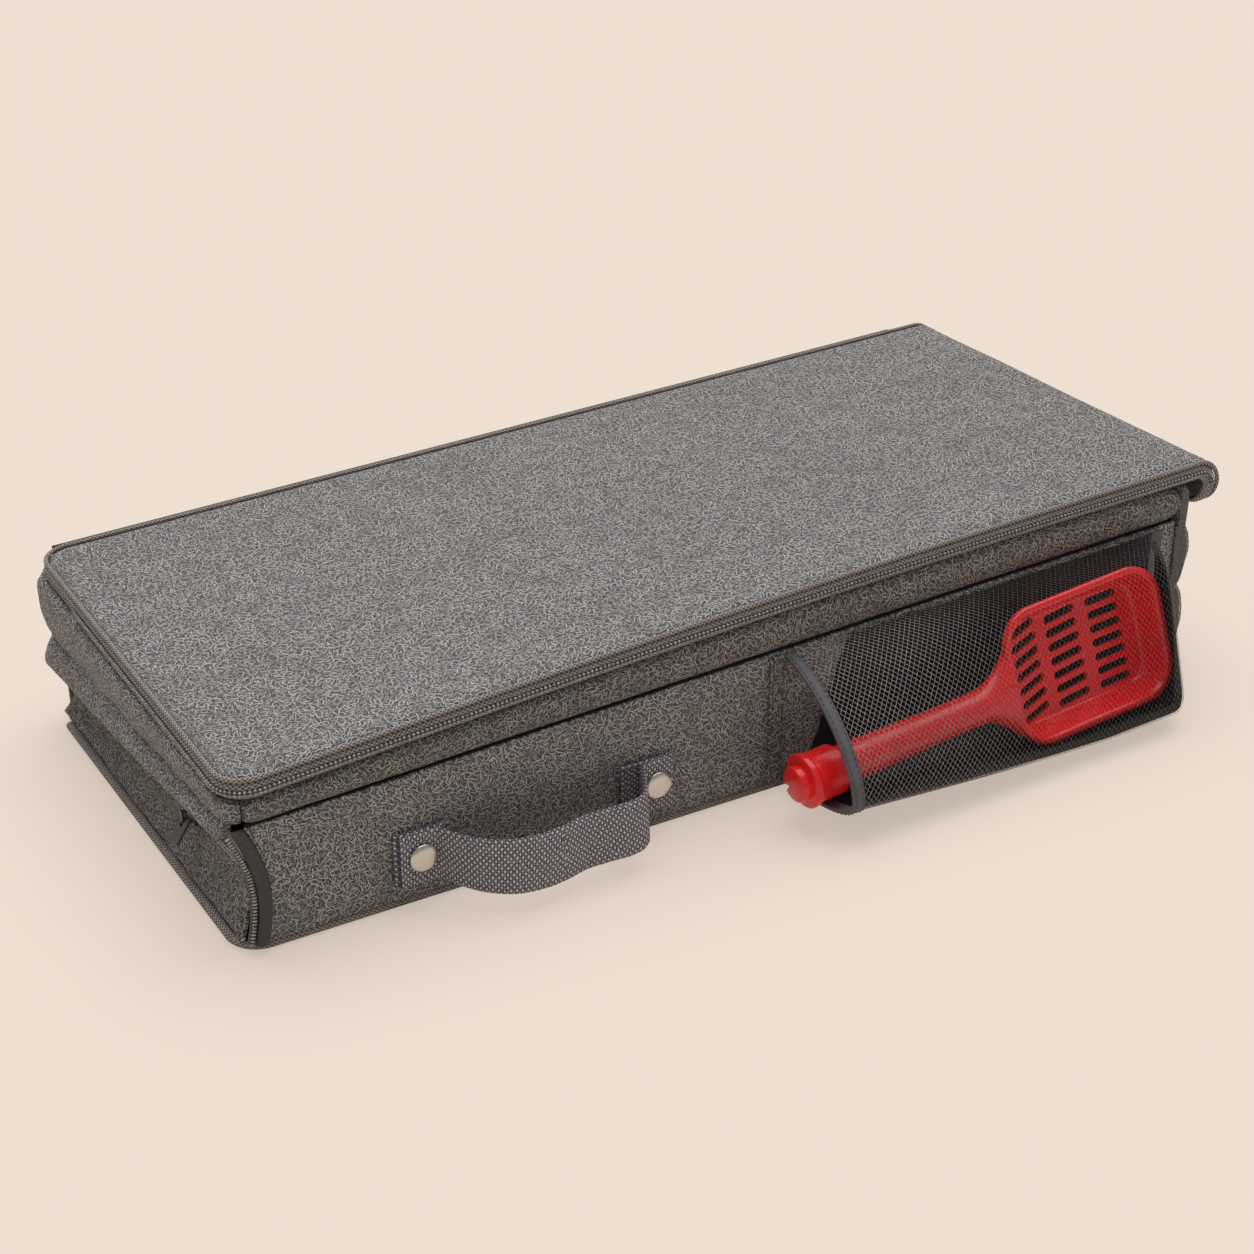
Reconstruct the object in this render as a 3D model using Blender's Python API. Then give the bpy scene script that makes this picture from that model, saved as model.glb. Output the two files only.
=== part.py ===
"""A foldable litter box, folded into its carrying pack.

Unzipped, the lid goes over backwards on the back panel, the far wall swings up
from the lid, and the two halves lie end to end as one open tray.

Places are given in the pack's own frame: X along the front from its left end,
Y back from the front edge of the lid, Z up from the floor. The last step moves
the whole box so that the middle of its footprint is at the world's origin.
Lengths are in metres.
"""

import math

import bmesh
import bpy
from mathutils import Matrix, Vector

# The folded pack. It is a wedge: the side folds fill the right end more than the left.
LENGTH = 0.460
DEPTH = 0.216
BACK_LEFT_HEIGHT = 0.082
BACK_RIGHT_HEIGHT = 0.097
FRONT_LEFT_HEIGHT = 0.076
FRONT_RIGHT_HEIGHT = 0.101
FRONT_CROWN = 0.0034
CLEARANCE = 0.0003
OVERRUN = 0.010
FABRIC = 0.0012
BOARD = 0.0022

# The lid: padded top, board, liner, and the zip tape band round them.
LID_PADDING = 0.0044
LID_THICKNESS = LID_PADDING + BOARD + FABRIC + 4 * CLEARANCE
LID_CORNER = 0.014
LID_EDGE_ROLL = 0.0012
LIP_START = LENGTH + 0.007
LIP_RADIUS = 0.0133
LIP_TAIL = 0.0125
LID_RIGHT = LIP_START + 0.5 * math.pi * LIP_RADIUS + LIP_TAIL
BAND_THICKNESS = 0.0022
PIPING_RADIUS = 0.0011
COIL_RADIUS = 0.0009
COIL_DROP = 0.0050

# The far wall, folded in under the lid.
FAR_WALL_HEIGHT = 0.081
FAR_WALL_PROUD = 0.0020
FAR_WALL_LEFT_DROP = 0.0192
FAR_WALL_RIGHT_DROP = 0.0253
FAR_WALL_NOSE = 0.006

# The base and its edge piping.
BASE_PADDING = 0.0030
BASE_CORNER = 0.010
BASE_PIPING_RADIUS = 0.0020
FRONT_WALL_FACE = -0.0015
FRONT_WALL_PADDING = 0.0025
FRONT_WALL_RIGHT = LENGTH - 0.005
WALL_LEFT_FOOT = 0.0125
WALL_LEFT_BOW = 0.0035
WALL_LEFT_TUCK = 0.0060
BINDING_WIDTH = 0.0055
CORNER_COIL_RADIUS = 0.0013

# The back panel, which hinges at the base and at the lid.
SPINE_PADDING = 0.0024
SPINE_INSET = 0.0072
FOLD_GAP = 0.001

# The left end: lower panel, zip, and the soft fold that hangs from the lid.
END_PANEL_THICKNESS = 0.0030
END_PANEL_LEAN = 0.0070
END_ZIP_BACK_HEIGHT = 0.018
END_ZIP_FRONT_HEIGHT = 0.038
END_ZIP_RADIUS = 0.0014
END_TAPE_WIDTH = 0.0065
END_FOLD_BACK_HEIGHT = 0.0285
END_FOLD_FRONT_HEIGHT = 0.047
END_FOLD_BULGE = 0.0060
END_FOLD_THICKNESS = 0.0060
END_FOLD_CORNER = 0.0083
END_FOLD_RISE = 0.012
END_FOLD_CREASE_SHARE = 0.40
END_BACK = 0.205
END_FRONT = 0.0040

# The right end: two soft side folds.
SIDE_FOLD_DROP = 0.0290
SIDE_FOLD_PINCH_SHARE = 0.555
FOLD_NECK_REACH = 0.0135
UPPER_FOLD_REACH = 0.0190
LOWER_FOLD_REACH = 0.0205

# The zip slider and its pull.
SLIDER_PLACE = 0.056
SLIDER_LENGTH = 0.0090
SLIDER_WIDTH = 0.0062
SLIDER_THICKNESS = 0.0016
PULL_LENGTH = 0.0120
PULL_WIDTH = 0.0080
PULL_THICKNESS = 0.0012
PULL_TILT = math.radians(35.0)
BRIDGE_WIRE = 0.0011

# The webbing handle, its patches and rivets.
RIVET_LEFT_SHARE = 0.16413
RIVET_RIGHT_SHARE = 0.39370
RIVET_LEFT = RIVET_LEFT_SHARE * LENGTH
RIVET_RIGHT = RIVET_RIGHT_SHARE * LENGTH
STRAP_WIDTH = 0.0238
STRAP_THICKNESS = 0.0018
STRAP_LEFT = RIVET_LEFT - 0.0095
STRAP_RIGHT = RIVET_RIGHT + 0.0074
STRAP_BOW = 0.0205
STRAP_BOW_SHARES = ((0.0, 0.0), (0.11, 0.60), (0.24, 0.93), (0.38, 1.0), (0.50, 0.94), (0.61, 0.84))
STRAP_RETURN_SHARES = ((0.73, 0.88), (0.83, 0.95), (0.91, 0.86), (0.97, 0.36), (1.0, 0.0))
STRAP_DIP = 0.0045
STRAP_HEIGHT = 0.0243
PATCH_LENGTH = 0.0240
PATCH_WIDTH = 0.0236
PATCH_LEFT = RIVET_LEFT - 0.0111
PATCH_RIGHT = RIVET_RIGHT + 0.0084
RIVET_HEIGHT = 0.0249
RIVET_HEAD_RADIUS = 0.0060
RIVET_DOME = 0.0016
RIVET_RIM = 0.0006
RIVET_SHANK_RADIUS = 0.0016
WASHER_RADIUS = 0.0050
WASHER_THICKNESS = 0.0010

# The mesh pocket.
POCKET_LEFT_SHARE = 0.54457
POCKET_LEFT = POCKET_LEFT_SHARE * LENGTH
POCKET_RIGHT = FRONT_WALL_RIGHT - 0.016
POCKET_DEPTH = 0.0495
POCKET_END_DEPTH_SHARE = 0.88
POCKET_END_LEAN_SHARE = 0.42
POCKET_WAIST_SHARE = 0.24
POCKET_END_WAIST_SHARE = 0.14
POCKET_TOP_DROP = 0.0018
POCKET_MOUTH_FOOT = 0.0055
POCKET_END_FOOT = 0.0120
POCKET_END_RUN = 0.016
POCKET_TIGHT_SHARE = 0.71
MOUTH_SQUARENESS = 1.25
MOUTH_LOWER_SQUARENESS = 1.0
END_SQUARENESS = 0.28
END_LOWER_SQUARENESS = 0.42
MESH_THICKNESS = 0.0008
MOUTH_BINDING_WIDTH = 0.0060
MOUTH_BINDING_THICKNESS = 0.0024
SEAM_TAPE_WIDTH = 0.0070

# The scoop: a slotted dish on a round handle.
SCOOP_LENGTH = 0.088
SCOOP_WIDTH = 0.062
SCOOP_DEPTH = 0.0120
SCOOP_CORNER = 0.017
SCOOP_RIM = 0.0024
SCOOP_SLOPE = 0.0062
SCOOP_WALL = 0.0020
SCOOP_INSET = 0.0960
SCOOP_PLACE = (POCKET_RIGHT - SCOOP_INSET, -0.0300, 0.0352)
SCOOP_ALONG = (0.9965, 0.0290, 0.0760)
SCOOP_ACROSS = (-0.085, 0.320, 0.9440)
SLOT_WIDTH = 0.0038
SLOT_PITCH = 0.0064
SLOT_LENGTH = 0.0175
SLOT_SHORT_LENGTH = 0.0140
HANDLE_DROP = 0.0032
HANDLE_SET_BACK = 0.0011
HANDLE_RADIUS = 0.0075
HANDLE_END_RADIUS = 0.0088
HANDLE_LENGTH = 0.0930
NECK_LENGTH = 0.020
NECK_SPREAD = 0.0210
COLLAR_RADIUS = 0.0108
COLLAR_LENGTH = 0.0130
CAP_FLANGE_RADIUS = 0.0118
CAP_FLANGE_THICKNESS = 0.0030
CAP_KNOB_RADIUS = 0.0078
CAP_KNOB_LENGTH = 0.0042
CAP_SPIGOT_RADIUS = 0.0055
CAP_SPIGOT_LENGTH = 0.0080
CAP_BORE_PLAY = 0.0004
NOTCH_WIDTH = 0.0050
NOTCH_DEPTH = 0.0042

CORNER_STEPS = 5
LONG_STEPS = 14
LIP_STEPS = 6
EDGE_SHARES = (0.0, 0.012, 0.035, 0.10, 0.30, 0.50, 0.70, 0.90, 0.965, 0.988, 1.0)


# Working the heights of the pack

def between(low, high, share):
    return low + (high - low) * share


def lid_top(x, y):
    """The height of the lid's upper face, before its right end is rolled over."""
    along = x / LENGTH
    crown = FRONT_CROWN * math.sin(math.pi * min(max(along, 0.0), 1.0))
    front = between(FRONT_LEFT_HEIGHT, FRONT_RIGHT_HEIGHT, along) + crown
    back = between(BACK_LEFT_HEIGHT, BACK_RIGHT_HEIGHT, along)
    return between(front, back, y / DEPTH)


def rolled_over(x, y, z):
    """Where a place of the flat lid goes when the lid's right end is rolled over and hangs down."""
    over = x - LIP_START
    if over <= 0.0:
        return x, y, z
    radius = LIP_RADIUS + z - lid_top(x, y)
    turn = min(over / LIP_RADIUS, 0.5 * math.pi)
    tail = over - turn * LIP_RADIUS
    middle = lid_top(LIP_START, y) - LIP_RADIUS
    return LIP_START + radius * math.sin(turn), y, middle + radius * math.cos(turn) - tail


def far_wall_underside(x):
    left = FRONT_LEFT_HEIGHT - FAR_WALL_LEFT_DROP
    return between(left, FRONT_RIGHT_HEIGHT - FAR_WALL_RIGHT_DROP, x / LENGTH)


def through(points, place):
    """The height at a place of a smooth curve through (place, height) points."""
    places, heights = zip(*points)
    slopes = []
    for i in range(len(points)):
        a = max(0, i - 1)
        b = min(len(points) - 1, i + 1)
        slopes.append((heights[b] - heights[a]) / (places[b] - places[a]))
    i = max(k for k in range(len(points) - 1) if places[k] <= place)
    span = places[i + 1] - places[i]
    t = (place - places[i]) / span
    start = heights[i] * (1.0 + 2.0 * t) * (1.0 - t) ** 2 + heights[i + 1] * t * t * (3.0 - 2.0 * t)
    return start + span * (slopes[i] * t * (1.0 - t) ** 2 - slopes[i + 1] * t * t * (1.0 - t))


def end_zip_height(y):
    return between(END_ZIP_FRONT_HEIGHT, END_ZIP_BACK_HEIGHT, y / END_BACK)


def rounding(distance, radius):
    """How far a round corner's edge lies in from the square one, at a distance from its end."""
    if distance >= radius:
        return 0.0
    return radius - math.sqrt(max(0.0, radius * radius - (radius - distance) ** 2))


def stations(start, end, radius, middle):
    """Places along a panel: close together round its corners, even between them."""
    quarter = [radius * (1.0 - math.cos(0.5 * math.pi * i / CORNER_STEPS)) for i in range(CORNER_STEPS)]
    inner = [start + radius + (end - start - 2 * radius) * i / middle for i in range(middle + 1)]
    return [start + q for q in quarter] + inner + [end - q for q in reversed(quarter)]


# Making closed solids

def add_skin(shape, rings, closed=False):
    """Joins rings of points into one closed skin. Open ends are capped."""
    rows = [[shape.verts.new(p) for p in ring] for ring in rings]
    count = len(rows[0])
    pairs = list(zip(rows, rows[1:]))
    if closed:
        pairs.append((rows[-1], rows[0]))
    for near, far in pairs:
        for i in range(count):
            j = (i + 1) % count
            shape.faces.new((near[i], near[j], far[j], far[i]))
    if not closed:
        shape.faces.new(list(reversed(rows[0])))
        shape.faces.new(rows[-1])


def add_slab(shape, outer, inner):
    """Closes the space between two grids of points of the same size."""
    grids = [[[shape.verts.new(p) for p in row] for row in grid] for grid in (outer, inner)]
    rows = len(outer)
    columns = len(outer[0])
    for grid in grids:
        for i in range(rows - 1):
            for j in range(columns - 1):
                shape.faces.new((grid[i][j], grid[i + 1][j], grid[i + 1][j + 1], grid[i][j + 1]))
    rim = [(i, 0) for i in range(rows)]
    rim += [(rows - 1, j) for j in range(1, columns)]
    rim += [(i, columns - 1) for i in range(rows - 2, -1, -1)]
    rim += [(0, j) for j in range(columns - 2, 0, -1)]
    for (a, b), (c, d) in zip(rim, rim[1:] + rim[:1]):
        shape.faces.new((grids[0][a][b], grids[1][a][b], grids[1][c][d], grids[0][c][d]))


def add_turned(shape, place, axis, profile, sides=20):
    """Turns a profile of (radius, distance along the axis) about an axis through a place."""
    axis = Vector(axis).normalized()
    across = axis.orthogonal().normalized()
    other = axis.cross(across)
    rings = []
    for radius, along in profile:
        middle = Vector(place) + axis * along
        turns = [2 * math.pi * i / sides for i in range(sides)]
        rings.append([middle + (across * math.cos(t) + other * math.sin(t)) * radius for t in turns])
    add_skin(shape, rings)


def add_tube(shape, path, radius, sides=8, closed=False):
    """A round bead along a path of points."""
    rings = []
    count = len(path)
    for i, point in enumerate(path):
        before = path[i - 1] if closed or i > 0 else path[i]
        after = path[(i + 1) % count] if closed or i < count - 1 else path[i]
        along = (Vector(after) - Vector(before)).normalized()
        side = along.cross(Vector((0, 0, 1)))
        if side.length < 0.5:
            side = along.cross(Vector((1, 0, 0)))
        side.normalize()
        up = side.cross(along)
        turns = [2 * math.pi * k / sides for k in range(sides)]
        rings.append([Vector(point) + (side * math.cos(t) + up * math.sin(t)) * radius for t in turns])
    add_skin(shape, rings, closed)


def material(name, colour, roughness, metallic=0.0):
    finish = bpy.data.materials.new(name)
    finish.use_nodes = True
    shader = finish.node_tree.nodes["Principled BSDF"]
    shader.inputs["Base Color"].default_value = (*colour, 1.0)
    shader.inputs["Roughness"].default_value = roughness
    shader.inputs["Metallic"].default_value = metallic
    finish.diffuse_color = (*colour, 1.0)
    return finish


def pivot(name, place, carrier):
    """An empty on a joint's axis. What moves about that axis is parented to it."""
    empty = bpy.data.objects.new(name + "_pivot", None)
    bpy.context.scene.collection.objects.link(empty)
    empty["place"] = place
    if carrier:
        empty.parent = carrier
        empty.location = Vector(place) - Vector(carrier["place"])
    return empty


def node(name, shape, finish, carrier, sharp=35.0):
    """Makes one named piece of the box from a shape, on the body that carries it."""
    bmesh.ops.recalc_face_normals(shape, faces=shape.faces)
    bmesh.ops.translate(shape, verts=shape.verts, vec=-Vector(carrier["place"]))
    mesh = bpy.data.meshes.new(name)
    shape.to_mesh(mesh)
    shape.free()
    mesh.shade_smooth()
    mesh.set_sharp_from_angle(angle=math.radians(sharp))
    mesh.materials.append(finish)
    piece = bpy.data.objects.new(name, mesh)
    piece.parent = carrier
    bpy.context.scene.collection.objects.link(piece)
    return piece


def cutter(name, shape, carrier, pieces, operation="DIFFERENCE"):
    """Cuts a hidden shape from pieces, or joins it to them."""
    tool = node(name, shape, FINISH["fabric"], carrier)
    tool.hide_render = True
    tool.display_type = "WIRE"
    for piece in pieces:
        modifier = piece.modifiers.new(name, "BOOLEAN")
        modifier.object = tool
        modifier.operation = operation
        modifier.solver = "EXACT"


for old in list(bpy.data.objects):
    bpy.data.objects.remove(old, do_unlink=True)

FINISH = {
    "fabric": material("heather_fabric", (0.205, 0.188, 0.182), 0.92),
    "dark_fabric": material("heather_fabric_dark", (0.175, 0.158, 0.150), 0.92),
    "tape": material("zip_tape", (0.130, 0.114, 0.107), 0.85),
    "binding": material("smooth_binding", (0.060, 0.055, 0.054), 0.70),
    "coil": material("nylon_coil", (0.070, 0.064, 0.060), 0.50),
    "board": material("stiff_board", (0.070, 0.070, 0.072), 0.60),
    "liner": material("waterproof_liner", (0.110, 0.112, 0.118), 0.35),
    "webbing": material("webbing", (0.160, 0.146, 0.160), 0.90),
    "mesh": material("pocket_mesh", (0.050, 0.050, 0.052), 0.85),
    "slate": material("slate_binding", (0.130, 0.120, 0.128), 0.80),
    "rivet": material("brushed_nickel", (0.720, 0.680, 0.620), 0.25, 1.0),
    "gunmetal": material("gunmetal", (0.060, 0.062, 0.068), 0.40, 0.9),
    "red": material("red_plastic", (0.620, 0.012, 0.014), 0.28),
}

# The bodies. Each pivot lies on the axis that its body turns about or slides along.
LID_UNDER_FRONT = between(FRONT_LEFT_HEIGHT, FRONT_RIGHT_HEIGHT, 0.5) - LID_THICKNESS + FRONT_CROWN
HINGE_BACK = between(BACK_LEFT_HEIGHT, BACK_RIGHT_HEIGHT, 0.5)
MIDDLE = 0.5 * LENGTH
END_ZIP_FACE = END_PANEL_LEAN + END_ZIP_RADIUS - 2 * CLEARANCE

base = pivot("base", (0.0, 0.0, 0.0), None)
spine = pivot("back_panel", (MIDDLE, DEPTH, 0.0), base)
lid = pivot("lid", (MIDDLE, DEPTH, HINGE_BACK), spine)
far_wall = pivot("far_wall", (MIDDLE, -FAR_WALL_PROUD - CLEARANCE, LID_UNDER_FRONT), lid)
slider = pivot("zip_slider", (END_ZIP_FACE, SLIDER_PLACE, end_zip_height(SLIDER_PLACE)), base)


# The base

def base_slab(low, high, inset, back):
    """One flat layer of the floor, with round front corners."""
    shape = bmesh.new()
    left = inset
    right = FRONT_WALL_RIGHT - inset + BASE_PIPING_RADIUS
    front = inset
    columns = stations(left, right, BASE_CORNER, LONG_STEPS // 2)
    grids = []
    for height in (high, low):
        grid = []
        for x in columns:
            cut = rounding(min(x - left, right - x), BASE_CORNER)
            grid.append([(x, between(front + cut, back, s), height) for s in (0.0, 0.5, 1.0)])
        grids.append(grid)
    add_slab(shape, *grids)
    return shape


BASE_INSET = 2 * BASE_PIPING_RADIUS + 2 * CLEARANCE
BASE_BACK = DEPTH - SPINE_PADDING - BOARD - FABRIC - 3 * CLEARANCE
BASE_BOARD_LOW = BASE_PADDING + CLEARANCE
BASE_BOARD_TOP = BASE_BOARD_LOW + BOARD
BASE_LINER_LOW = BASE_BOARD_TOP + CLEARANCE
FLOOR_TOP = BASE_LINER_LOW + FABRIC
node("base_cover", base_slab(0.0, BASE_PADDING, BASE_INSET, BASE_BACK - CLEARANCE), FINISH["fabric"], base)
BOARD_INSET = BASE_INSET + BASE_PADDING
BOARD_BACK = BASE_BACK - 2 * CLEARANCE
BASE_BOARD_SHAPE = base_slab(BASE_BOARD_LOW, BASE_BOARD_TOP, BOARD_INSET, BOARD_BACK)
node("base_board", BASE_BOARD_SHAPE, FINISH["board"], base)
LINER_INSET = BOARD_INSET + FABRIC
node("base_liner", base_slab(BASE_LINER_LOW, FLOOR_TOP, LINER_INSET, BOARD_BACK), FINISH["liner"], base)


def base_piping():
    """A round bead along the left, front and right of the floor."""
    shape = bmesh.new()
    radius = BASE_PIPING_RADIUS
    left = radius
    right = FRONT_WALL_RIGHT + radius
    bend = BASE_CORNER + radius
    height = radius + CLEARANCE
    path = [(left, BASE_BACK - OVERRUN, height)]
    bends = (((left + bend, left + bend), math.pi), ((right - bend, left + bend), 1.5 * math.pi))
    for corner, start in bends:
        for i in range(CORNER_STEPS + 1):
            turn = start + 0.5 * math.pi * i / CORNER_STEPS
            x = corner[0] + bend * math.cos(turn)
            y = corner[1] + bend * math.sin(turn)
            path.append((x, y, height))
    path.append((right, BASE_BACK - OVERRUN, height))
    add_tube(shape, path, radius)
    return shape


node("base_piping", base_piping(), FINISH["tape"], base)

# The front wall: its left edge bows and then tucks in under the lid.
WALL_FOOT = 2 * BASE_PIPING_RADIUS + 2 * CLEARANCE
WALL_BOARD_FACE = FRONT_WALL_FACE + FRONT_WALL_PADDING + CLEARANCE
WALL_LINER_FACE = WALL_BOARD_FACE + BOARD + CLEARANCE
WALL_INNER_FACE = WALL_LINER_FACE + FABRIC


def wall_left(share):
    return WALL_LEFT_FOOT + WALL_LEFT_BOW * math.sin(math.pi * share) - WALL_LEFT_TUCK * share * share


def front_wall_top(x):
    return far_wall_underside(x) - 2 * CLEARANCE


def front_wall_layer(face, thickness, inset):
    """One layer of the front wall, from a face back through a thickness."""
    shape = bmesh.new()
    rows = 9
    grids = []
    for depth in (face, face + thickness):
        grid = []
        for i in range(rows):
            share = i / (rows - 1)
            left = wall_left(share) + inset
            right = FRONT_WALL_RIGHT - inset
            line = []
            for k in range(LONG_STEPS + 1):
                x = between(left, right, k / LONG_STEPS)
                line.append((x, depth, between(WALL_FOOT + inset, front_wall_top(x) - inset, share)))
            grid.append(line)
        grids.append(grid)
    add_slab(shape, *grids)
    return shape


WALL_COVER_SHAPE = front_wall_layer(FRONT_WALL_FACE, FRONT_WALL_PADDING, 0.0)
WALL_BOARD_SHAPE = front_wall_layer(WALL_BOARD_FACE, BOARD, FABRIC)
WALL_LINER_SHAPE = front_wall_layer(WALL_LINER_FACE, FABRIC, FABRIC)
wall_cover = node("front_wall_cover", WALL_COVER_SHAPE, FINISH["dark_fabric"], base)
wall_board = node("front_wall_board", WALL_BOARD_SHAPE, FINISH["board"], base)
wall_liner = node("front_wall_liner", WALL_LINER_SHAPE, FINISH["liner"], base)


def left_edge_binding():
    shape = bmesh.new()
    rows = 11
    outer = []
    inner = []
    for i in range(rows):
        share = i / (rows - 1)
        right = wall_left(share) - CLEARANCE
        left = right - BINDING_WIDTH
        height = between(WALL_FOOT, front_wall_top(left), share)
        front = FRONT_WALL_FACE - 0.5 * FABRIC
        middle = between(left, right, 0.5)
        crown = ((left, front + FABRIC), (middle, front), (right, front + 0.5 * FABRIC))
        outer.append([(x, y, height) for x, y in crown])
        inner.append([(x, FRONT_WALL_FACE + FRONT_WALL_PADDING, height) for x in (left, middle, right)])
    add_slab(shape, outer, inner)
    return shape


node("left_edge_binding", left_edge_binding(), FINISH["binding"], base)


def corner_zip_coil():
    shape = bmesh.new()
    steps = 10
    path = []
    for i in range(steps + 1):
        share = i / steps
        x = wall_left(share) - BINDING_WIDTH - CORNER_COIL_RADIUS - 2 * CLEARANCE
        top = front_wall_top(x) - CORNER_COIL_RADIUS
        path.append((x, 0.0, between(WALL_FOOT + CORNER_COIL_RADIUS, top, share)))
    add_tube(shape, path, CORNER_COIL_RADIUS, 6)
    return shape


node("corner_zip_coil", corner_zip_coil(), FINISH["coil"], base)


# The left end

def left_end_panel():
    """The soft lower end: it leans in from the floor's edge up to the zip."""
    shape = bmesh.new()
    foot = 2 * BASE_PIPING_RADIUS + 3 * CLEARANCE
    outer = []
    inner = []
    for i in range(13):
        y = between(END_FRONT, END_BACK, i / 12)
        top = end_zip_height(y) - END_ZIP_RADIUS - CLEARANCE
        line = []
        for k in range(6):
            share = k / 5
            x = between(FABRIC, END_PANEL_LEAN, math.sin(0.5 * math.pi * share))
            line.append((x, y, between(foot, top, share)))
        outer.append(line)
        inner.append([(x + END_PANEL_THICKNESS, y, z) for x, y, z in line])
    add_slab(shape, outer, inner)
    return shape


node("left_end_panel", left_end_panel(), FINISH["fabric"], base)


def straight_tube(start, end, radius, sides, steps):
    shape = bmesh.new()
    path = [Vector(start).lerp(Vector(end), i / steps) for i in range(steps + 1)]
    add_tube(shape, path, radius, sides)
    return shape


ZIP_FRONT = (END_ZIP_FACE, END_FRONT, end_zip_height(END_FRONT))
ZIP_BACK = (END_ZIP_FACE, END_BACK, end_zip_height(END_BACK))
node("end_zip_coil", straight_tube(ZIP_FRONT, ZIP_BACK, END_ZIP_RADIUS, 8, 6), FINISH["coil"], base)


def end_zip_tape():
    """The woven tape above the coil, on the inside of the opening."""
    shape = bmesh.new()
    outer = []
    inner = []
    for i in range(13):
        y = between(END_FRONT, END_BACK, i / 12)
        low = end_zip_height(y) + END_ZIP_RADIUS + CLEARANCE
        line = [(END_ZIP_FACE, y, between(low, low + END_TAPE_WIDTH, k / 2)) for k in range(3)]
        outer.append(line)
        inner.append([(x + FABRIC, y, z) for x, y, z in line])
    add_slab(shape, outer, inner)
    return shape


node("end_zip_tape", end_zip_tape(), FINISH["tape"], base)

# The zip slider: two plates round the coil, joined by a lug that holds the pull.
ZIP_RUN = (Vector(ZIP_BACK) - Vector(ZIP_FRONT)).normalized()
ZIP_UP = Vector((1, 0, 0)).cross(ZIP_RUN)
ZIP_OUT = Vector((-1, 0, 0))


def add_block(shape, middle, sizes, axes, bevel=0.0):
    """A block with its own axes. Its long edges are cut back when it has a bevel."""
    made = bmesh.new()
    bmesh.ops.create_cube(made, size=1.0)
    bmesh.ops.scale(made, vec=Vector(sizes), verts=made.verts)
    if bevel:
        bmesh.ops.bevel(made, geom=made.edges[:], offset=bevel, segments=2, profile=0.5, affect="EDGES")
    turn = Matrix((axes[0], axes[1], axes[2])).transposed().to_4x4()
    bmesh.ops.transform(made, matrix=Matrix.Translation(middle) @ turn, verts=made.verts)
    held = bpy.data.meshes.new("block")
    made.to_mesh(held)
    made.free()
    shape.from_mesh(held)
    bpy.data.meshes.remove(held)


SLIDER_FACE = Vector(slider["place"]) + ZIP_OUT * (END_ZIP_RADIUS + CLEARANCE + SLIDER_THICKNESS)
BRIDGE_SPAN = 2.2 * (PULL_THICKNESS + 2 * CLEARANCE)
BRIDGE_HEIGHT = PULL_THICKNESS + 3 * CLEARANCE


def zip_slider():
    """The plate that rides on the coil."""
    shape = bmesh.new()
    plate = SLIDER_FACE - ZIP_OUT * (0.5 * SLIDER_THICKNESS)
    sizes = (SLIDER_LENGTH, SLIDER_WIDTH, SLIDER_THICKNESS)
    add_block(shape, plate, sizes, (ZIP_RUN, ZIP_UP, ZIP_OUT), 0.2 * SLIDER_THICKNESS)
    return shape


def slider_bridge():
    """The staple on the plate that the pull's end bar lies under."""
    shape = bmesh.new()
    inner = 0.5 * BRIDGE_SPAN
    outer = inner + BRIDGE_WIRE
    sunk = -0.5 * SLIDER_THICKNESS
    top = BRIDGE_HEIGHT + BRIDGE_WIRE
    profile = [(-outer, sunk), (-inner, sunk), (-inner, BRIDGE_HEIGHT), (inner, BRIDGE_HEIGHT)]
    profile += [(inner, sunk), (outer, sunk), (outer, top), (-outer, top)]
    rings = []
    for side in (-0.5 * BRIDGE_WIRE, 0.5 * BRIDGE_WIRE):
        rings.append([SLIDER_FACE + ZIP_RUN * side + ZIP_UP * up + ZIP_OUT * out for up, out in profile])
    add_skin(shape, rings)
    return shape


slider_body = node("zip_slider", zip_slider(), FINISH["gunmetal"], slider)
cutter("slider_bridge", slider_bridge(), slider, [slider_body], "UNION")

# The pull hangs from its end bar, tilted out to clear the soft lower panel.
PULL_AXIS = SLIDER_FACE + ZIP_OUT * (0.5 * BRIDGE_HEIGHT)
PULL_DOWN = -ZIP_UP * math.cos(PULL_TILT) + ZIP_OUT * math.sin(PULL_TILT)
PULL_FACE = ZIP_OUT * math.cos(PULL_TILT) + ZIP_UP * math.sin(PULL_TILT)
pull = pivot("zip_pull", tuple(PULL_AXIS), slider)


def zip_pull():
    shape = bmesh.new()
    middle = PULL_AXIS + PULL_DOWN * (0.5 * (PULL_LENGTH - PULL_THICKNESS))
    sizes = (PULL_LENGTH, PULL_WIDTH, PULL_THICKNESS)
    add_block(shape, middle, sizes, (PULL_DOWN, ZIP_RUN, PULL_FACE), 0.24 * PULL_THICKNESS)
    return shape


def pull_window():
    """The slot between the end bar and the tab, which the bridge passes through."""
    shape = bmesh.new()
    start = 0.5 * PULL_THICKNESS
    reach = math.hypot(0.5 * BRIDGE_SPAN + BRIDGE_WIRE, 0.5 * BRIDGE_HEIGHT + BRIDGE_WIRE) + 2 * CLEARANCE
    middle = PULL_AXIS + PULL_DOWN * between(start, reach, 0.5)
    sizes = (reach - start, BRIDGE_WIRE + 4 * CLEARANCE, OVERRUN)
    add_block(shape, middle, sizes, (PULL_DOWN, ZIP_RUN, PULL_FACE))
    return shape


pull_body = node("zip_pull", zip_pull(), FINISH["gunmetal"], pull)
cutter("pull_window", pull_window(), pull, [pull_body])


# The right end: soft folds of the side wall, one above the other

FOLD_START = FRONT_WALL_RIGHT + CLEARANCE + FABRIC


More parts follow.
